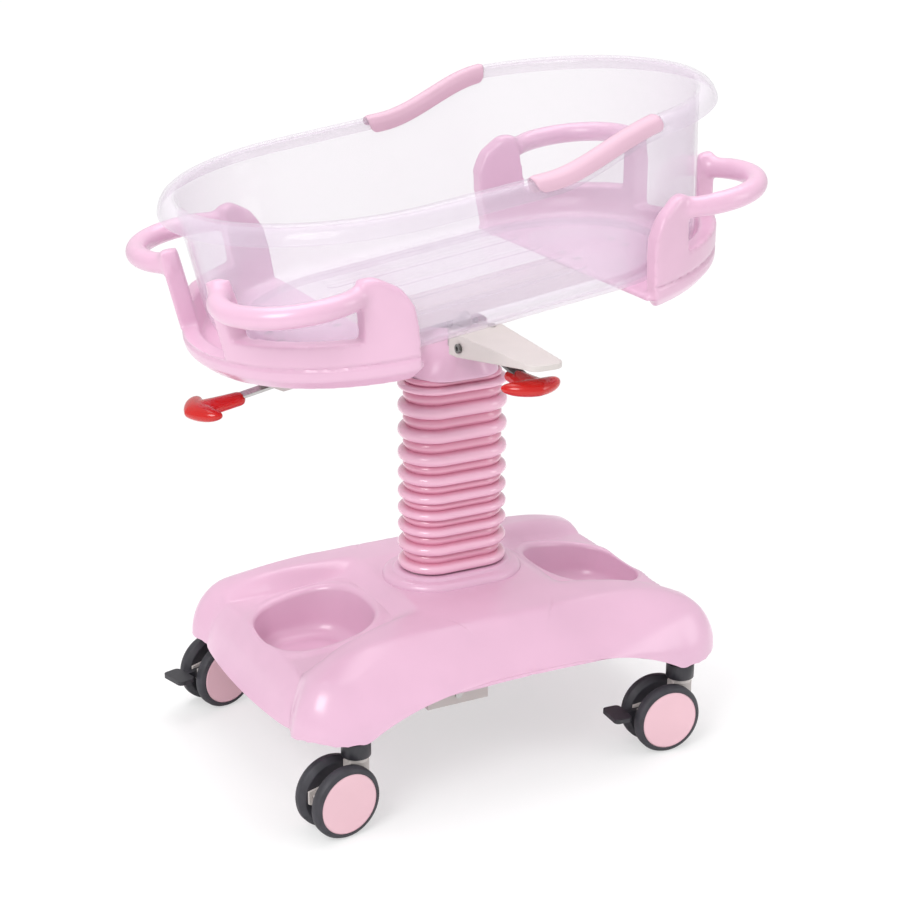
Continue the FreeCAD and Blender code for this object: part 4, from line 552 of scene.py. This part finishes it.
def outline_distance(x, y):
    """Distance inwards from the plan's outline."""
    size = sizes()
    corner = size.cover_corner
    over_x = np.abs(x) - (size.cover_half_length - corner)
    over_y = np.abs(y) - (size.cover_half_width - corner)
    outside = np.hypot(np.maximum(over_x, 0), np.maximum(over_y, 0))
    return corner - outside - np.minimum(np.maximum(over_x, over_y), 0)


def soft_least(first, second, width):
    """The lesser of two heights, rounded over a width where they meet."""
    mix = np.clip(0.5 + 0.5 * (second - first) / width, 0, 1)
    return second * (1 - mix) + first * mix - width * mix * (1 - mix)


def recess_norm(x, y):
    """1 on a recess's edge, less inside it and more outside."""
    size = sizes()
    across = np.abs(np.abs(x) - size.recess_reach) / size.recess_half_length
    along = np.abs(y) / size.recess_half_width
    return (across ** 2.5 + along ** 2.5) ** (1 / 2.5)


FIELD_REACH = (0.090, 0.134, 0.190, 0.292, 0.311, 0.337)
FIELD_HEIGHT = (0.223, 0.215, 0.204, 0.188, 0.165, 0.112)


def cover_top(x, y):
    """Height of the cover's upper surface, without its wells."""
    size = sizes()
    reach_x, reach_y = np.abs(x), np.abs(y)
    ends = size.cover_crown - 1.35 * np.maximum(reach_x - 0.120, 0) ** 2
    sides = (size.cover_crown - np.maximum(reach_y - 0.090, 0) * 0.15
             - np.maximum(reach_y - 0.160, 0) * 0.66)
    lobes = soft_least(ends, sides, 0.020)
    boss = 0.003 * (1 - eased(recess_norm(x, y), 1.08, 1.26))
    field = np.minimum(np.interp(reach_x, FIELD_REACH, FIELD_HEIGHT) + boss, lobes)
    climb = np.sin(np.clip(rim_step(x, y), 0, 1) * math.pi / 2)
    top = field + (lobes - field) * climb
    hem = cover_hem(x, y)
    gap = np.maximum(outline_distance(reach_x + end_bow(x, y), y), 0)
    corner = eased(reach_x, 0.22, 0.30) * eased(reach_y, 0.11, 0.20)
    round_over = 0.020 + 0.014 * eased(reach_x, 0.10, 0.25) + 0.012 * corner
    rise = (1 - (1 - np.minimum(gap / round_over, 1)) ** 2.3) ** (1 / 2.3)
    return hem + (top - hem) * rise


def crease_share(start, stop):
    """How far along each ray the sunk field ends, 1 where the ray stays in it."""
    steps = np.linspace(0, 1, 240)
    place = start[:, None] + (stop - start)[:, None] * steps[None, :, None]
    depth = rim_step(place[..., 0], place[..., 1])
    first = np.argmax(depth > 0, axis=1)
    return np.where(depth.max(axis=1) > 0, steps[first], 1.0)


LIP_ROUND = 0.008
WELL_FILLET = 0.022


def base_cover_rows():
    """Rows of points on rays from a recess's middle, from its floor out to the hem."""
    size = sizes()
    centre = np.array([-size.recess_reach, 0.0])
    outline = cover_outline(200)
    seam = np.column_stack([np.zeros(95), np.linspace(outline[-1, 1], outline[0, 1], 97)[1:-1]])
    edge = np.vstack([outline, seam])
    lip = centre + (edge - centre) / recess_norm(edge[:, 0], edge[:, 1])[:, None]
    rows = []

    def row(place, height):
        rows.append([(x, y, z) for (x, y), z in zip(place, height)])

    top_at_lip = cover_top(lip[:, 0], lip[:, 1])
    floor = size.recess_floor
    for share in (0.0, 0.2, 0.45, 0.65):
        row(centre + (lip - centre) * share, np.full(len(edge), floor + 0.002 * (1 - share)))
    for step in np.linspace(0, math.pi / 2, 7):
        share = 0.94 - (WELL_FILLET / size.recess_half_width) * (1 - math.sin(step))
        row(centre + (lip - centre) * share,
            np.full(len(edge), floor + WELL_FILLET * (1 - math.cos(step))))
    for share in (0.25, 0.5, 0.75, 1.0):
        place = centre + (lip - centre) * (0.94 + 0.06 * share)
        row(place, floor + WELL_FILLET + (top_at_lip - LIP_ROUND - floor - WELL_FILLET) * share)
    span = np.linalg.norm(edge - lip, axis=1)
    for step in np.linspace(0, math.pi / 2, 6)[1:]:
        out = LIP_ROUND * (1 - math.cos(step)) / span
        place = lip + (edge - lip) * out[:, None]
        row(place, cover_top(place[:, 0], place[:, 1]) - LIP_ROUND * (1 - math.sin(step)))
    start = LIP_ROUND / span
    turn = np.maximum(crease_share(lip, edge), start)
    for step in np.linspace(0, 1, 15)[1:]:
        place = lip + (edge - lip) * (start + (turn - start) * step)[:, None]
        row(place, cover_top(place[:, 0], place[:, 1]))
    for step in np.linspace(0, 1, 34)[1:]:
        crowd = np.where(np.abs(edge[:, 0]) < 1e-6, step, 1 - (1 - step) ** 1.35)
        place = lip + (edge - lip) * (turn + (1 - turn) * crowd)[:, None]
        row(place, cover_top(place[:, 0], place[:, 1]))
    return rows


CUFF_SECTION = ((0.0378, 0.2320), (0.0378, 0.2455), (0.0392, 0.2470), (0.0515, 0.2470),
                (0.0540, 0.2458), (0.0552, 0.2436), (0.0572, 0.2428), (0.0632, 0.2424),
                (0.0662, 0.2408), (0.0684, 0.2384), (0.0700, 0.2350), (0.0700, 0.2320))


def base_cover_mesh():
    """Half the cover mirrored, with its wells, its wall and the cuff round the bellows."""
    size = sizes()
    piece = lattice("base_cover_shell", base_cover_rows(), wrap=True)
    tidy_mesh(piece, 0.0002)
    apply(piece, "MIRROR", use_axis=(True, False, False), merge_threshold=0.0003)
    place = points_of(piece)
    column = np.hypot(np.maximum(np.abs(place[:, 0]) - size.bellows_straight, 0), place[:, 1])
    work = bmesh.new()
    work.from_mesh(piece.data)
    work.verts.ensure_lookup_table()
    inside = [work.verts[int(i)] for i in np.nonzero(column < size.bellows_half - 0.009)[0]]
    bmesh.ops.delete(work, geom=inside, context="VERTS")
    work.to_mesh(piece.data)
    work.free()
    tidy_mesh(piece)
    if np.mean([polygon.normal.z for polygon in piece.data.polygons]) < 0:
        edit_whole(piece)
        bpy.ops.mesh.flip_normals()
        leave_edit()
    apply(piece, "SOLIDIFY", thickness=size.cover_wall, offset=-1.0, use_rim=True)
    cuff = spun("cover_cuff_ring", CUFF_SECTION, closed=True, steps=96)
    parted(cuff, size.bellows_straight, -size.bellows_straight)
    select_only(piece)
    cuff.select_set(True)
    bpy.ops.object.join()
    return smooth(piece, 60)


class BASSINET_OT_base(bpy.types.Operator):
    """Model the base cover"""

    bl_idname = "bassinet.base"
    bl_label = "Base"

    def execute(self, context):
        cover = base_cover_mesh()
        dress(cover, MATERIALS["pink_shell"], "base", "base_cover", "pink_shell")
        return {"FINISHED"}


# ---------------------------------------------------------------- column
RING_FEET = (0.247, 0.275, 0.303, 0.3275, 0.352, 0.378, 0.407, 0.440, 0.475, 0.510, 0.530)


def bellows_profile():
    """Radius and height up the folds: a round ring, a crease and a shallow band."""
    size = sizes()
    crest, depth = size.bellows_half, size.fold_depth
    line = []
    for low, high in zip(RING_FEET[:-1], RING_FEET[1:]):
        ring = 0.56 if high - low > 0.02 else 1.0
        for step in np.linspace(-1, 1, 13)[:-1]:
            bulge = math.sqrt(max(0.0, 1 - abs(step) ** 2.2))
            line.append((crest - depth * (1 - bulge), low + (high - low) * ring * (step + 1) / 2))
        if ring < 1:
            for step in np.linspace(0, 1, 9)[:-1]:
                line.append((crest - depth + 0.0032 * math.sin(step * math.pi),
                             low + (high - low) * (ring + (1 - ring) * step)))
    line.append((crest - depth, RING_FEET[-1]))
    return line


def bellows_mesh():
    size = sizes()
    outside = bellows_profile()
    inside = [(radius - 0.002, height) for radius, height in reversed(outside)]
    piece = spun("bellows_sleeve", outside + inside, closed=True, steps=90)
    parted(piece, size.bellows_straight, -size.bellows_straight)
    return smooth(piece, 55)


BELL_SECTION = ((0.0452, 0.5285), (0.0462, 0.5295), (0.0464, 0.5315), (0.0458, 0.5345),
                (0.0446, 0.5400), (0.0432, 0.5470), (0.0421, 0.5550), (0.0413, 0.5640),
                (0.0410, 0.5740), (0.0410, 0.6000), (0.0405, 0.6015), (0.0395, 0.6020))
BELL_WALL = 0.0028
BELL_NOTCH = ((-0.0243, -0.080, 0.577), (0.0363, -0.021, 0.610))


def shroud_mesh():
    """The head's moulded bell: a rolled foot, a waist, an open top and a lever notch."""
    inside = [(radius - BELL_WALL, height) for radius, height in reversed(BELL_SECTION[2:-2])]
    piece = spun("head_shroud_bell", list(BELL_SECTION) + inside, closed=True, steps=90)

    def half(height):
        return 0.007 + 0.012 * (1 - eased(height, 0.530, 0.568))

    parted(piece, half, lambda height: -half(height))
    low, high = BELL_NOTCH
    bpy.ops.object.select_all(action="DESELECT")
    bpy.ops.mesh.primitive_cube_add(size=1, location=[(a + b) / 2 for a, b in zip(low, high)],
                                    scale=[b - a for a, b in zip(low, high)])
    subtract(piece, bpy.context.active_object)
    return smooth(piece, 40)


class BASSINET_OT_column(bpy.types.Operator):
    """Model the bellows and the bell over the column's head"""

    bl_idname = "bassinet.column"
    bl_label = "Column"

    def execute(self, context):
        sleeve = bellows_mesh()
        sleeve.data.materials.append(MATERIALS["pink_rubber"])
        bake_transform(sleeve)
        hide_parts("bellows")
        dress(shroud_mesh(), MATERIALS["pink_shell"], "column_top", "head_shroud", "pink_shell")
        guard = moulded_copy("lever_guard_sheet", "lever_guard", 0.0011, 3)
        dress(guard, MATERIALS["cream_paint"], "column_top", "lever_guard", "cream_paint")
        return {"FINISHED"}


# ---------------------------------------------------------------- cradle
def level_places(piece):
    """The piece's points as they lie with the cradle level."""
    turn = sizes().rest_tilt
    place = points_of(piece)
    rise = place[:, 2] - sizes().tilt_pivot
    level = place.copy()
    level[:, 0] = place[:, 0] * math.cos(turn) + rise * math.sin(turn)
    level[:, 2] = sizes().tilt_pivot - place[:, 0] * math.sin(turn) + rise * math.cos(turn)
    return level


SEAM_HALF_WIDTH = 0.0040
SEAM_DEPTH = 0.0032


def support_mesh(end):
    """An end support with melted edges, domed tops and the seam over its bottom lip."""
    size = sizes()
    piece = moulded_copy(f"{end}_support_moulding", f"{end}_support", 0.0024, 16)
    side = 1 if end == "head" else -1
    centre = size.cradle_middle + side * size.support_centre
    level = level_places(piece)
    radius = np.hypot(level[:, 0] - centre, level[:, 1])
    crown = eased(level[:, 2], 0.735, 0.758) * (1 - eased(radius, 0.262, 0.276))
    tops = piece.vertex_groups.new(name="tops")
    for index in np.nonzero(crown > 0.01)[0]:
        tops.add([int(index)], float(crown[index]), "REPLACE")
    apply(piece, "SMOOTH", factor=0.5, iterations=60, vertex_group="tops")
    piece.vertex_groups.clear()
    level = level_places(piece)
    out = np.column_stack([level[:, 0] - centre, level[:, 1]])
    radius = np.linalg.norm(out, axis=1)
    face = np.interp(level[:, 2], (0.627, 0.771), (0.240, 0.256))
    seam = np.clip(1 - np.abs(level[:, 2] - size.support_seam) / SEAM_HALF_WIDTH, 0, 1)
    seam *= radius > face - 0.005
    level[:, :2] -= out / radius[:, None] * (SEAM_DEPTH * seam)[:, None]
    set_points(piece, level)
    cradle_turn(piece)
    return smooth(piece, 60)


class BASSINET_OT_cradle(bpy.types.Operator):
    """Model the two end supports with their handles"""

    bl_idname = "bassinet.cradle"
    bl_label = "Cradle"

    def execute(self, context):
        for end in ("head", "foot"):
            dress(support_mesh(end), MATERIALS["pink_shell"], "cradle", f"{end}_support",
                  "pink_shell")
        return {"FINISHED"}


# ---------------------------------------------------------------- tub
RIM_SECTION = ((0.2230, -0.030), (0.2232, -0.016), (0.2240, -0.008), (0.2262, -0.0025),
               (0.2300, 0.0), (0.2350, -0.0002), (0.2400, -0.0018), (0.2448, -0.0052),
               (0.2484, -0.0105), (0.2507, -0.0165), (0.2518, -0.0205), (0.2520, -0.0222),
               (0.2514, -0.0230), (0.2490, -0.0230), (0.2482, -0.0222), (0.2476, -0.0195),
               (0.2464, -0.0160), (0.2442, -0.0115), (0.2412, -0.0075), (0.2370, -0.0048),
               (0.2325, -0.0042), (0.2294, -0.0060), (0.2276, -0.0110), (0.2270, -0.0180),
               (0.2268, -0.030))


def rim_lift(x):
    """How far the rim stands above its foot-end height at a place along the tub."""
    size = sizes()
    return (size.rim_head - size.rim_foot) * eased(x, 0.035, 0.205)


TUB_INSIDE = ((0.0, 0.662), (0.080, 0.662), (0.1590, 0.662), (0.1620, 0.6612),
              (0.1638, 0.6590), (0.1650, 0.6545), (0.1672, 0.6525), (0.1720, 0.6522),
              (0.1860, 0.6550), (0.1950, 0.6610), (0.2020, 0.6700), (0.2066, 0.6820),
              (0.2090, 0.7000), (0.2125, 0.7300), (0.2160, 0.7600), (0.2195, 0.7900))
TUB_OUTSIDE = ((0.2237, 0.7900), (0.2202, 0.7600), (0.2167, 0.7300), (0.2132, 0.7000),
               (0.2108, 0.6820), (0.2060, 0.6680), (0.1980, 0.6570), (0.1880, 0.6510),
               (0.1740, 0.6480), (0.1640, 0.6480), (0.1612, 0.6495), (0.1600, 0.6560),
               (0.1585, 0.6578), (0.0800, 0.6580), (0.0, 0.6580))
GROOVE_PLACES = (-0.093, -0.031, 0.031, 0.093)
GROOVE_HALF_LENGTH = 0.140
GROOVE_RADIUS = 0.010


def tub_mesh():
    """The clear shell: platform, floor, wall and rolled rim, spun and then drawn out."""
    size = sizes()
    rim = [(radius, size.rim_foot + height) for radius, height in RIM_SECTION]
    piece = spun("tub_shell", [*TUB_INSIDE, *rim, *TUB_OUTSIDE])
    parted(piece, size.tub_head, size.tub_foot)
    edit_whole(piece)
    for x in np.linspace(size.tub_foot, size.tub_head, 26)[1:-1]:
        bpy.ops.mesh.select_all(action="SELECT")
        bpy.ops.mesh.bisect(plane_co=(x, 0, 0), plane_no=(1, 0, 0))
    leave_edit()
    for y in GROOVE_PLACES:
        subtract(piece, groove_cutter(y))
    place = points_of(piece)
    place[:, 2] += rim_lift(place[:, 0]) * eased(place[:, 2], 0.700, 0.812)
    set_points(piece, place)
    cradle_turn(piece)
    return smooth(piece, 40)


def groove_cutter(y):
    """A long round-ended bar that sinks one groove in the platform."""
    half, radius = GROOVE_HALF_LENGTH, GROOVE_RADIUS
    turns = np.linspace(-math.pi / 2, math.pi / 2, 13)
    ring = [(half + radius * math.cos(a), y + radius * math.sin(a)) for a in turns]
    ring += [(-half - radius * math.cos(a), y - radius * math.sin(a)) for a in turns]
    points = [(x + 0.0105, place, z) for z in (0.6600, 0.6640) for x, place in ring]
    count = len(ring)
    sides = [(i, (i + 1) % count, (i + 1) % count + count, i + count) for i in range(count)]
    ends = [tuple(reversed(range(count))), tuple(range(count, 2 * count))]
    return tidy_mesh(drawn("groove_cutter", points, sides + ends))


PAD_SECTION = ((0.2231, -0.0220), (0.2240, -0.0090), (0.2262, -0.0025), (0.2300, 0.0),
               (0.2350, -0.0002), (0.2400, -0.0018), (0.2448, -0.0052), (0.2484, -0.0105),
               (0.2507, -0.0165))
PAD_ENDS = (0.012, 0.207)
PAD_CORNER = 0.012
PAD_FACES = (((0.0009, 0.0016), np.linspace(-1, 1, 25)), ((-0.0004, 0.0), np.linspace(1, -1, 25)))


def rim_pad_mesh(name, side):
    """A soft strip bent over the rim's crest, following its step."""
    size = sizes()
    line = np.array(PAD_SECTION)
    run = np.concatenate([[0], np.cumsum(np.hypot(*np.diff(line, axis=0).T))])
    slope = np.gradient(line, axis=0)
    outwards = np.column_stack([-slope[:, 1], slope[:, 0]])
    outwards /= np.linalg.norm(outwards, axis=1)[:, None]
    rows = []
    for x in np.linspace(*PAD_ENDS, 90):
        edge = min(x - PAD_ENDS[0], PAD_ENDS[1] - x)
        pinch = 0.35 + 0.65 * math.sqrt(max(0.0, 1 - max(0.0, 1 - edge / PAD_CORNER) ** 2))
        turn = max(0.0, x - size.tub_head) / size.rim_radius
        centre = min(x, size.tub_head)
        row = []
        for (least, crown), places in PAD_FACES:
            for place in places:
                where = run[-1] * (0.5 + 0.5 * place * pinch)
                lift = least + crown * ((1 - abs(place) ** 4) * min(1.0, edge / 0.004))
                radius, height = (
                    np.interp(where, run, line[:, i])
                    + lift * np.interp(where, run, outwards[:, i]) for i in (0, 1))
                along = centre + radius * math.sin(turn)
                row.append((along, side * radius * math.cos(turn),
                            size.rim_foot + height + float(rim_lift(along))))
        rows.append(row)
    piece = capped(lattice(name, rows, wrap=True))
    cradle_turn(piece)
    return smooth(piece, 50)


class BASSINET_OT_tub(bpy.types.Operator):
    """Model the clear tub and the soft strips on its rim"""

    bl_idname = "bassinet.tub"
    bl_label = "Tub"

    def execute(self, context):
        shell = tub_mesh()
        shell.visible_shadow = False
        dress(shell, MATERIALS["clear_plastic"], "tub", "tub", "clear_plastic")
        for word, side in (("near", -1), ("far", 1)):
            pad = rim_pad_mesh(f"rim_pad_{word}_strip", side)
            dress(pad, MATERIALS["pink_pad"], "tub", f"rim_pad_{word}", "pink_pad")
        return {"FINISHED"}


# ---------------------------------------------------------------- levers
def grip_frame(node, across):
    """Where a grip's stem starts, and its own axes: along, across and through."""
    source = frame["nodes"][node]
    largest = max(source.data.polygons, key=lambda face: face.area)
    through = np.array(largest.normal)
    through *= np.sign(through[2])
    along = np.cross(across, through)
    along /= np.linalg.norm(along)
    place = points_of(source)
    middle = (place.min(axis=0) + place.max(axis=0)) / 2
    if np.dot(along[:2], middle[:2]) < 0:
        along = -along
    reach = place @ along
    depth = place @ through
    line = middle @ across
    start = along * reach.min() + across * line + through * (depth.min() + depth.max()) / 2
    return start, along, reach.max() - reach.min()


def oval_rod(name, sections):
    """A solid through ovals, each a middle, two half axes as vectors."""
    turns = np.linspace(0, 2 * math.pi, 25)[:-1]
    rows = [[middle + first * math.cos(a) + second * math.sin(a) for a in turns]
            for middle, first, second in sections]
    return capped(lattice(name, rows, wrap=True))


GRIP_HALF_BAR = 0.0435


def grip_mesh(word, across):
    """A smooth T: a stem that widens into a bowed bar with thin swept tips."""
    across = np.array(across, dtype=float)
    start, along, long = grip_frame(f"{word}_lever_grip", across)
    through = np.cross(along, across)
    stem = []
    for share in np.linspace(0, 1, 16):
        swell = math.sqrt(min(1.0, 0.25 + share * 9))
        wide = (0.0135 + 0.0100 * share ** 2.0) * swell
        thick = (0.0088 + 0.0014 * share) * swell
        stem.append((start + along * (0.0005 + share * (long - 0.026)),
                     across * wide, through * thick))
    bar = []
    for share in np.linspace(-1, 1, 41):
        tip = math.sqrt(max(0.0, 1 - abs(share) ** 6))
        sweep = long - 0.0180 - 0.015 * abs(share) ** 1.9
        bar.append((start + along * sweep + across * GRIP_HALF_BAR * share,
                    along * (0.0178 - 0.0070 * abs(share)) * tip,
                    through * (0.0108 - 0.0038 * share * share) * tip))
    piece = oval_rod(f"{word}_lever_handle", stem)
    other = oval_rod(f"{word}_lever_bar", bar)
    select_only(piece)
    other.select_set(True)
    bpy.ops.object.join()
    apply(piece, "REMESH", mode="VOXEL", voxel_size=0.0012, use_smooth_shade=True)
    apply(piece, "SMOOTH", factor=0.5, iterations=10)
    return piece


class BASSINET_OT_levers(bpy.types.Operator):
    """Model the two red squeeze grips"""

    bl_idname = "bassinet.levers"
    bl_label = "Levers"

    def execute(self, context):
        for word, across in (("height", (1, 0, 0)), ("tilt", (0, 1, 0))):
            dress(grip_mesh(word, across), MATERIALS["red_plastic"], f"{word}_lever",
                  f"{word}_lever_grip", "red_plastic")
        return {"FINISHED"}


# ---------------------------------------------------------------- CAD nodes kept as they are
def finish_nodes():
    """Put the finishes on the CAD nodes that stay, with their edges softened."""
    slot_of = {entry["node"]: entry["material_slot"] for entry in frame["record"]["subparts"]}
    for node, piece in frame["nodes"].items():
        piece.data.materials.clear()
        piece.data.materials.append(MATERIALS[slot_of[node]])
        if not piece.hide_render:
            softened(node, 0.0006)


class BASSINET_OT_hardware(bpy.types.Operator):
    """Finish the carried-over nodes: frame, column, pins, bolts and casters"""

    bl_idname = "bassinet.hardware"
    bl_label = "Hardware"

    def execute(self, context):
        finish_nodes()
        return {"FINISHED"}


# ---------------------------------------------------------------- stage
CAMERA_PLACE = Vector((-1.2400, -2.3256, 1.3513))
CAMERA_AIM = Vector((-0.0027, 0.0015, 0.4128))
CAMERA_LENS = 80.23
CAMERA_ROLL = math.radians(0.3)


def place_camera():
    view = bpy.data.cameras.new("studio_camera")
    view.lens = CAMERA_LENS
    view.sensor_width = 36
    view.clip_end = 50
    camera = bpy.data.objects.new("studio_camera", view)
    bpy.context.scene.collection.objects.link(camera)
    camera.location = CAMERA_PLACE
    look = (CAMERA_AIM - CAMERA_PLACE).to_track_quat("-Z", "Y")
    camera.rotation_mode = "QUATERNION"
    camera.rotation_quaternion = look @ Matrix.Rotation(CAMERA_ROLL, 3, "Z").to_quaternion()
    bpy.context.scene.camera = camera


def area_light(name, place, aim, width, power, tint=(1, 1, 1)):
    lamp = bpy.data.lights.new(name, "AREA")
    lamp.shape = "RECTANGLE"
    lamp.size, lamp.size_y = width
    lamp.energy = power
    lamp.color = tint
    holder = bpy.data.objects.new(name, lamp)
    bpy.context.scene.collection.objects.link(holder)
    holder.location = place
    holder.rotation_euler = (Vector(aim) - Vector(place)).to_track_quat("-Z", "Y").to_euler()


def seen_directly(tree):
    """1 for what the camera sees, also through a clear piece, else 0."""
    path = tree.nodes.new("ShaderNodeLightPath")
    return sum_node(tree, "MAXIMUM", path.outputs["Is Camera Ray"],
                    path.outputs["Is Transmission Ray"])


SKY_LIGHT = 0.71
WHITE = 1.03
SHADOW_REACH = 0.40
WHITE_REACH = 1.10


def floor_material():
    """A white floor that keeps the shadows near the piece and clears to white beyond."""
    material, tree, shader = new_material("studio_floor")
    shader.inputs["Base Color"].default_value = (*colours().floor, 1)
    shader.inputs["Roughness"].default_value = 0.9
    shader.inputs["Specular IOR Level"].default_value = 0.1
    where = tree.nodes.new("ShaderNodeTexCoord")
    reach = vector_length(tree, where.outputs["Object"])
    clear = map_range(tree, reach, 0.50, 1.0, SHADOW_REACH, WHITE_REACH)
    white = tree.nodes.new("ShaderNodeEmission")
    white.inputs["Color"].default_value = (1, 1, 1, 1)
    white.inputs["Strength"].default_value = WHITE
    mix = tree.nodes.new("ShaderNodeMixShader")
    tree.links.new(sum_node(tree, "MULTIPLY", clear, seen_directly(tree)), mix.inputs["Fac"])
    tree.links.new(shader.outputs["BSDF"], mix.inputs[1])
    tree.links.new(white.outputs["Emission"], mix.inputs[2])
    tree.links.new(mix.outputs["Shader"], tree.nodes["Material Output"].inputs["Surface"])
    return material


def white_sky():
    """A sky that lights softly and is pure white where it is seen."""
    sky = bpy.data.worlds.new("studio_sky")
    sky.use_nodes = True
    tree = sky.node_tree
    back = tree.nodes["Background"]
    back.inputs["Color"].default_value = (1, 1, 1, 1)
    strength = map_range(tree, seen_directly(tree), SKY_LIGHT, WHITE)
    tree.links.new(strength, back.inputs["Strength"])
    return sky


class BASSINET_OT_stage(bpy.types.Operator):
    """Set the floor, the soft lights, the sky and the camera"""

    bl_idname = "bassinet.stage"
    bl_label = "Stage"

    def execute(self, context):
        bpy.ops.object.select_all(action="DESELECT")
        bpy.ops.mesh.primitive_plane_add(size=40, location=(0, 0, 0))
        floor = bpy.context.active_object
        floor.name = "studio_floor"
        floor.data.materials.append(floor_material())
        area_light("key_light", (-2.5, -1.7, 2.6), (0, 0, 0.4), (1.6, 1.6), 66)
        area_light("top_light", (0.4, 0.6, 3.4), (0, 0, 0.5), (3.0, 2.4), 60)
        area_light("side_light", (2.4, -2.0, 1.4), (0, 0, 0.4), (1.2, 1.6), 15)
        bpy.context.scene.world = white_sky()
        bpy.context.scene.view_settings.view_transform = "Standard"
        place_camera()
        return {"FINISHED"}


# ---------------------------------------------------------------- the add-on
class BASSINET_PT_panel(bpy.types.Panel):
    """Lists the pieces of the bassinet in the 3D view's sidebar"""

    bl_label = "Bassinet"
    bl_idname = "BASSINET_PT_panel"
    bl_space_type = "VIEW_3D"
    bl_region_type = "UI"
    bl_category = "Bassinet"

    def draw(self, context):
        for step in STEPS:
            self.layout.operator(step)


STEPS = ("bassinet.stage", "bassinet.base", "bassinet.column", "bassinet.cradle",
         "bassinet.tub", "bassinet.levers", "bassinet.hardware")
CLASSES = (BassinetSizes, BassinetColours, BASSINET_OT_stage, BASSINET_OT_base,
           BASSINET_OT_column, BASSINET_OT_cradle, BASSINET_OT_tub, BASSINET_OT_levers,
           BASSINET_OT_hardware, BASSINET_PT_panel)


def register():
    for kind in CLASSES:
        bpy.utils.register_class(kind)
    bpy.types.Scene.bassinet_sizes = PointerProperty(type=BassinetSizes)
    bpy.types.Scene.bassinet_colours = PointerProperty(type=BassinetColours)


def unregister():
    del bpy.types.Scene.bassinet_colours
    del bpy.types.Scene.bassinet_sizes
    for kind in reversed(CLASSES):
        bpy.utils.unregister_class(kind)


def main():
    register()
    make_materials()
    for step in STEPS:
        group, name = step.split(".")
        getattr(getattr(bpy.ops, group), name)()


if __name__ == "__main__":
    main()
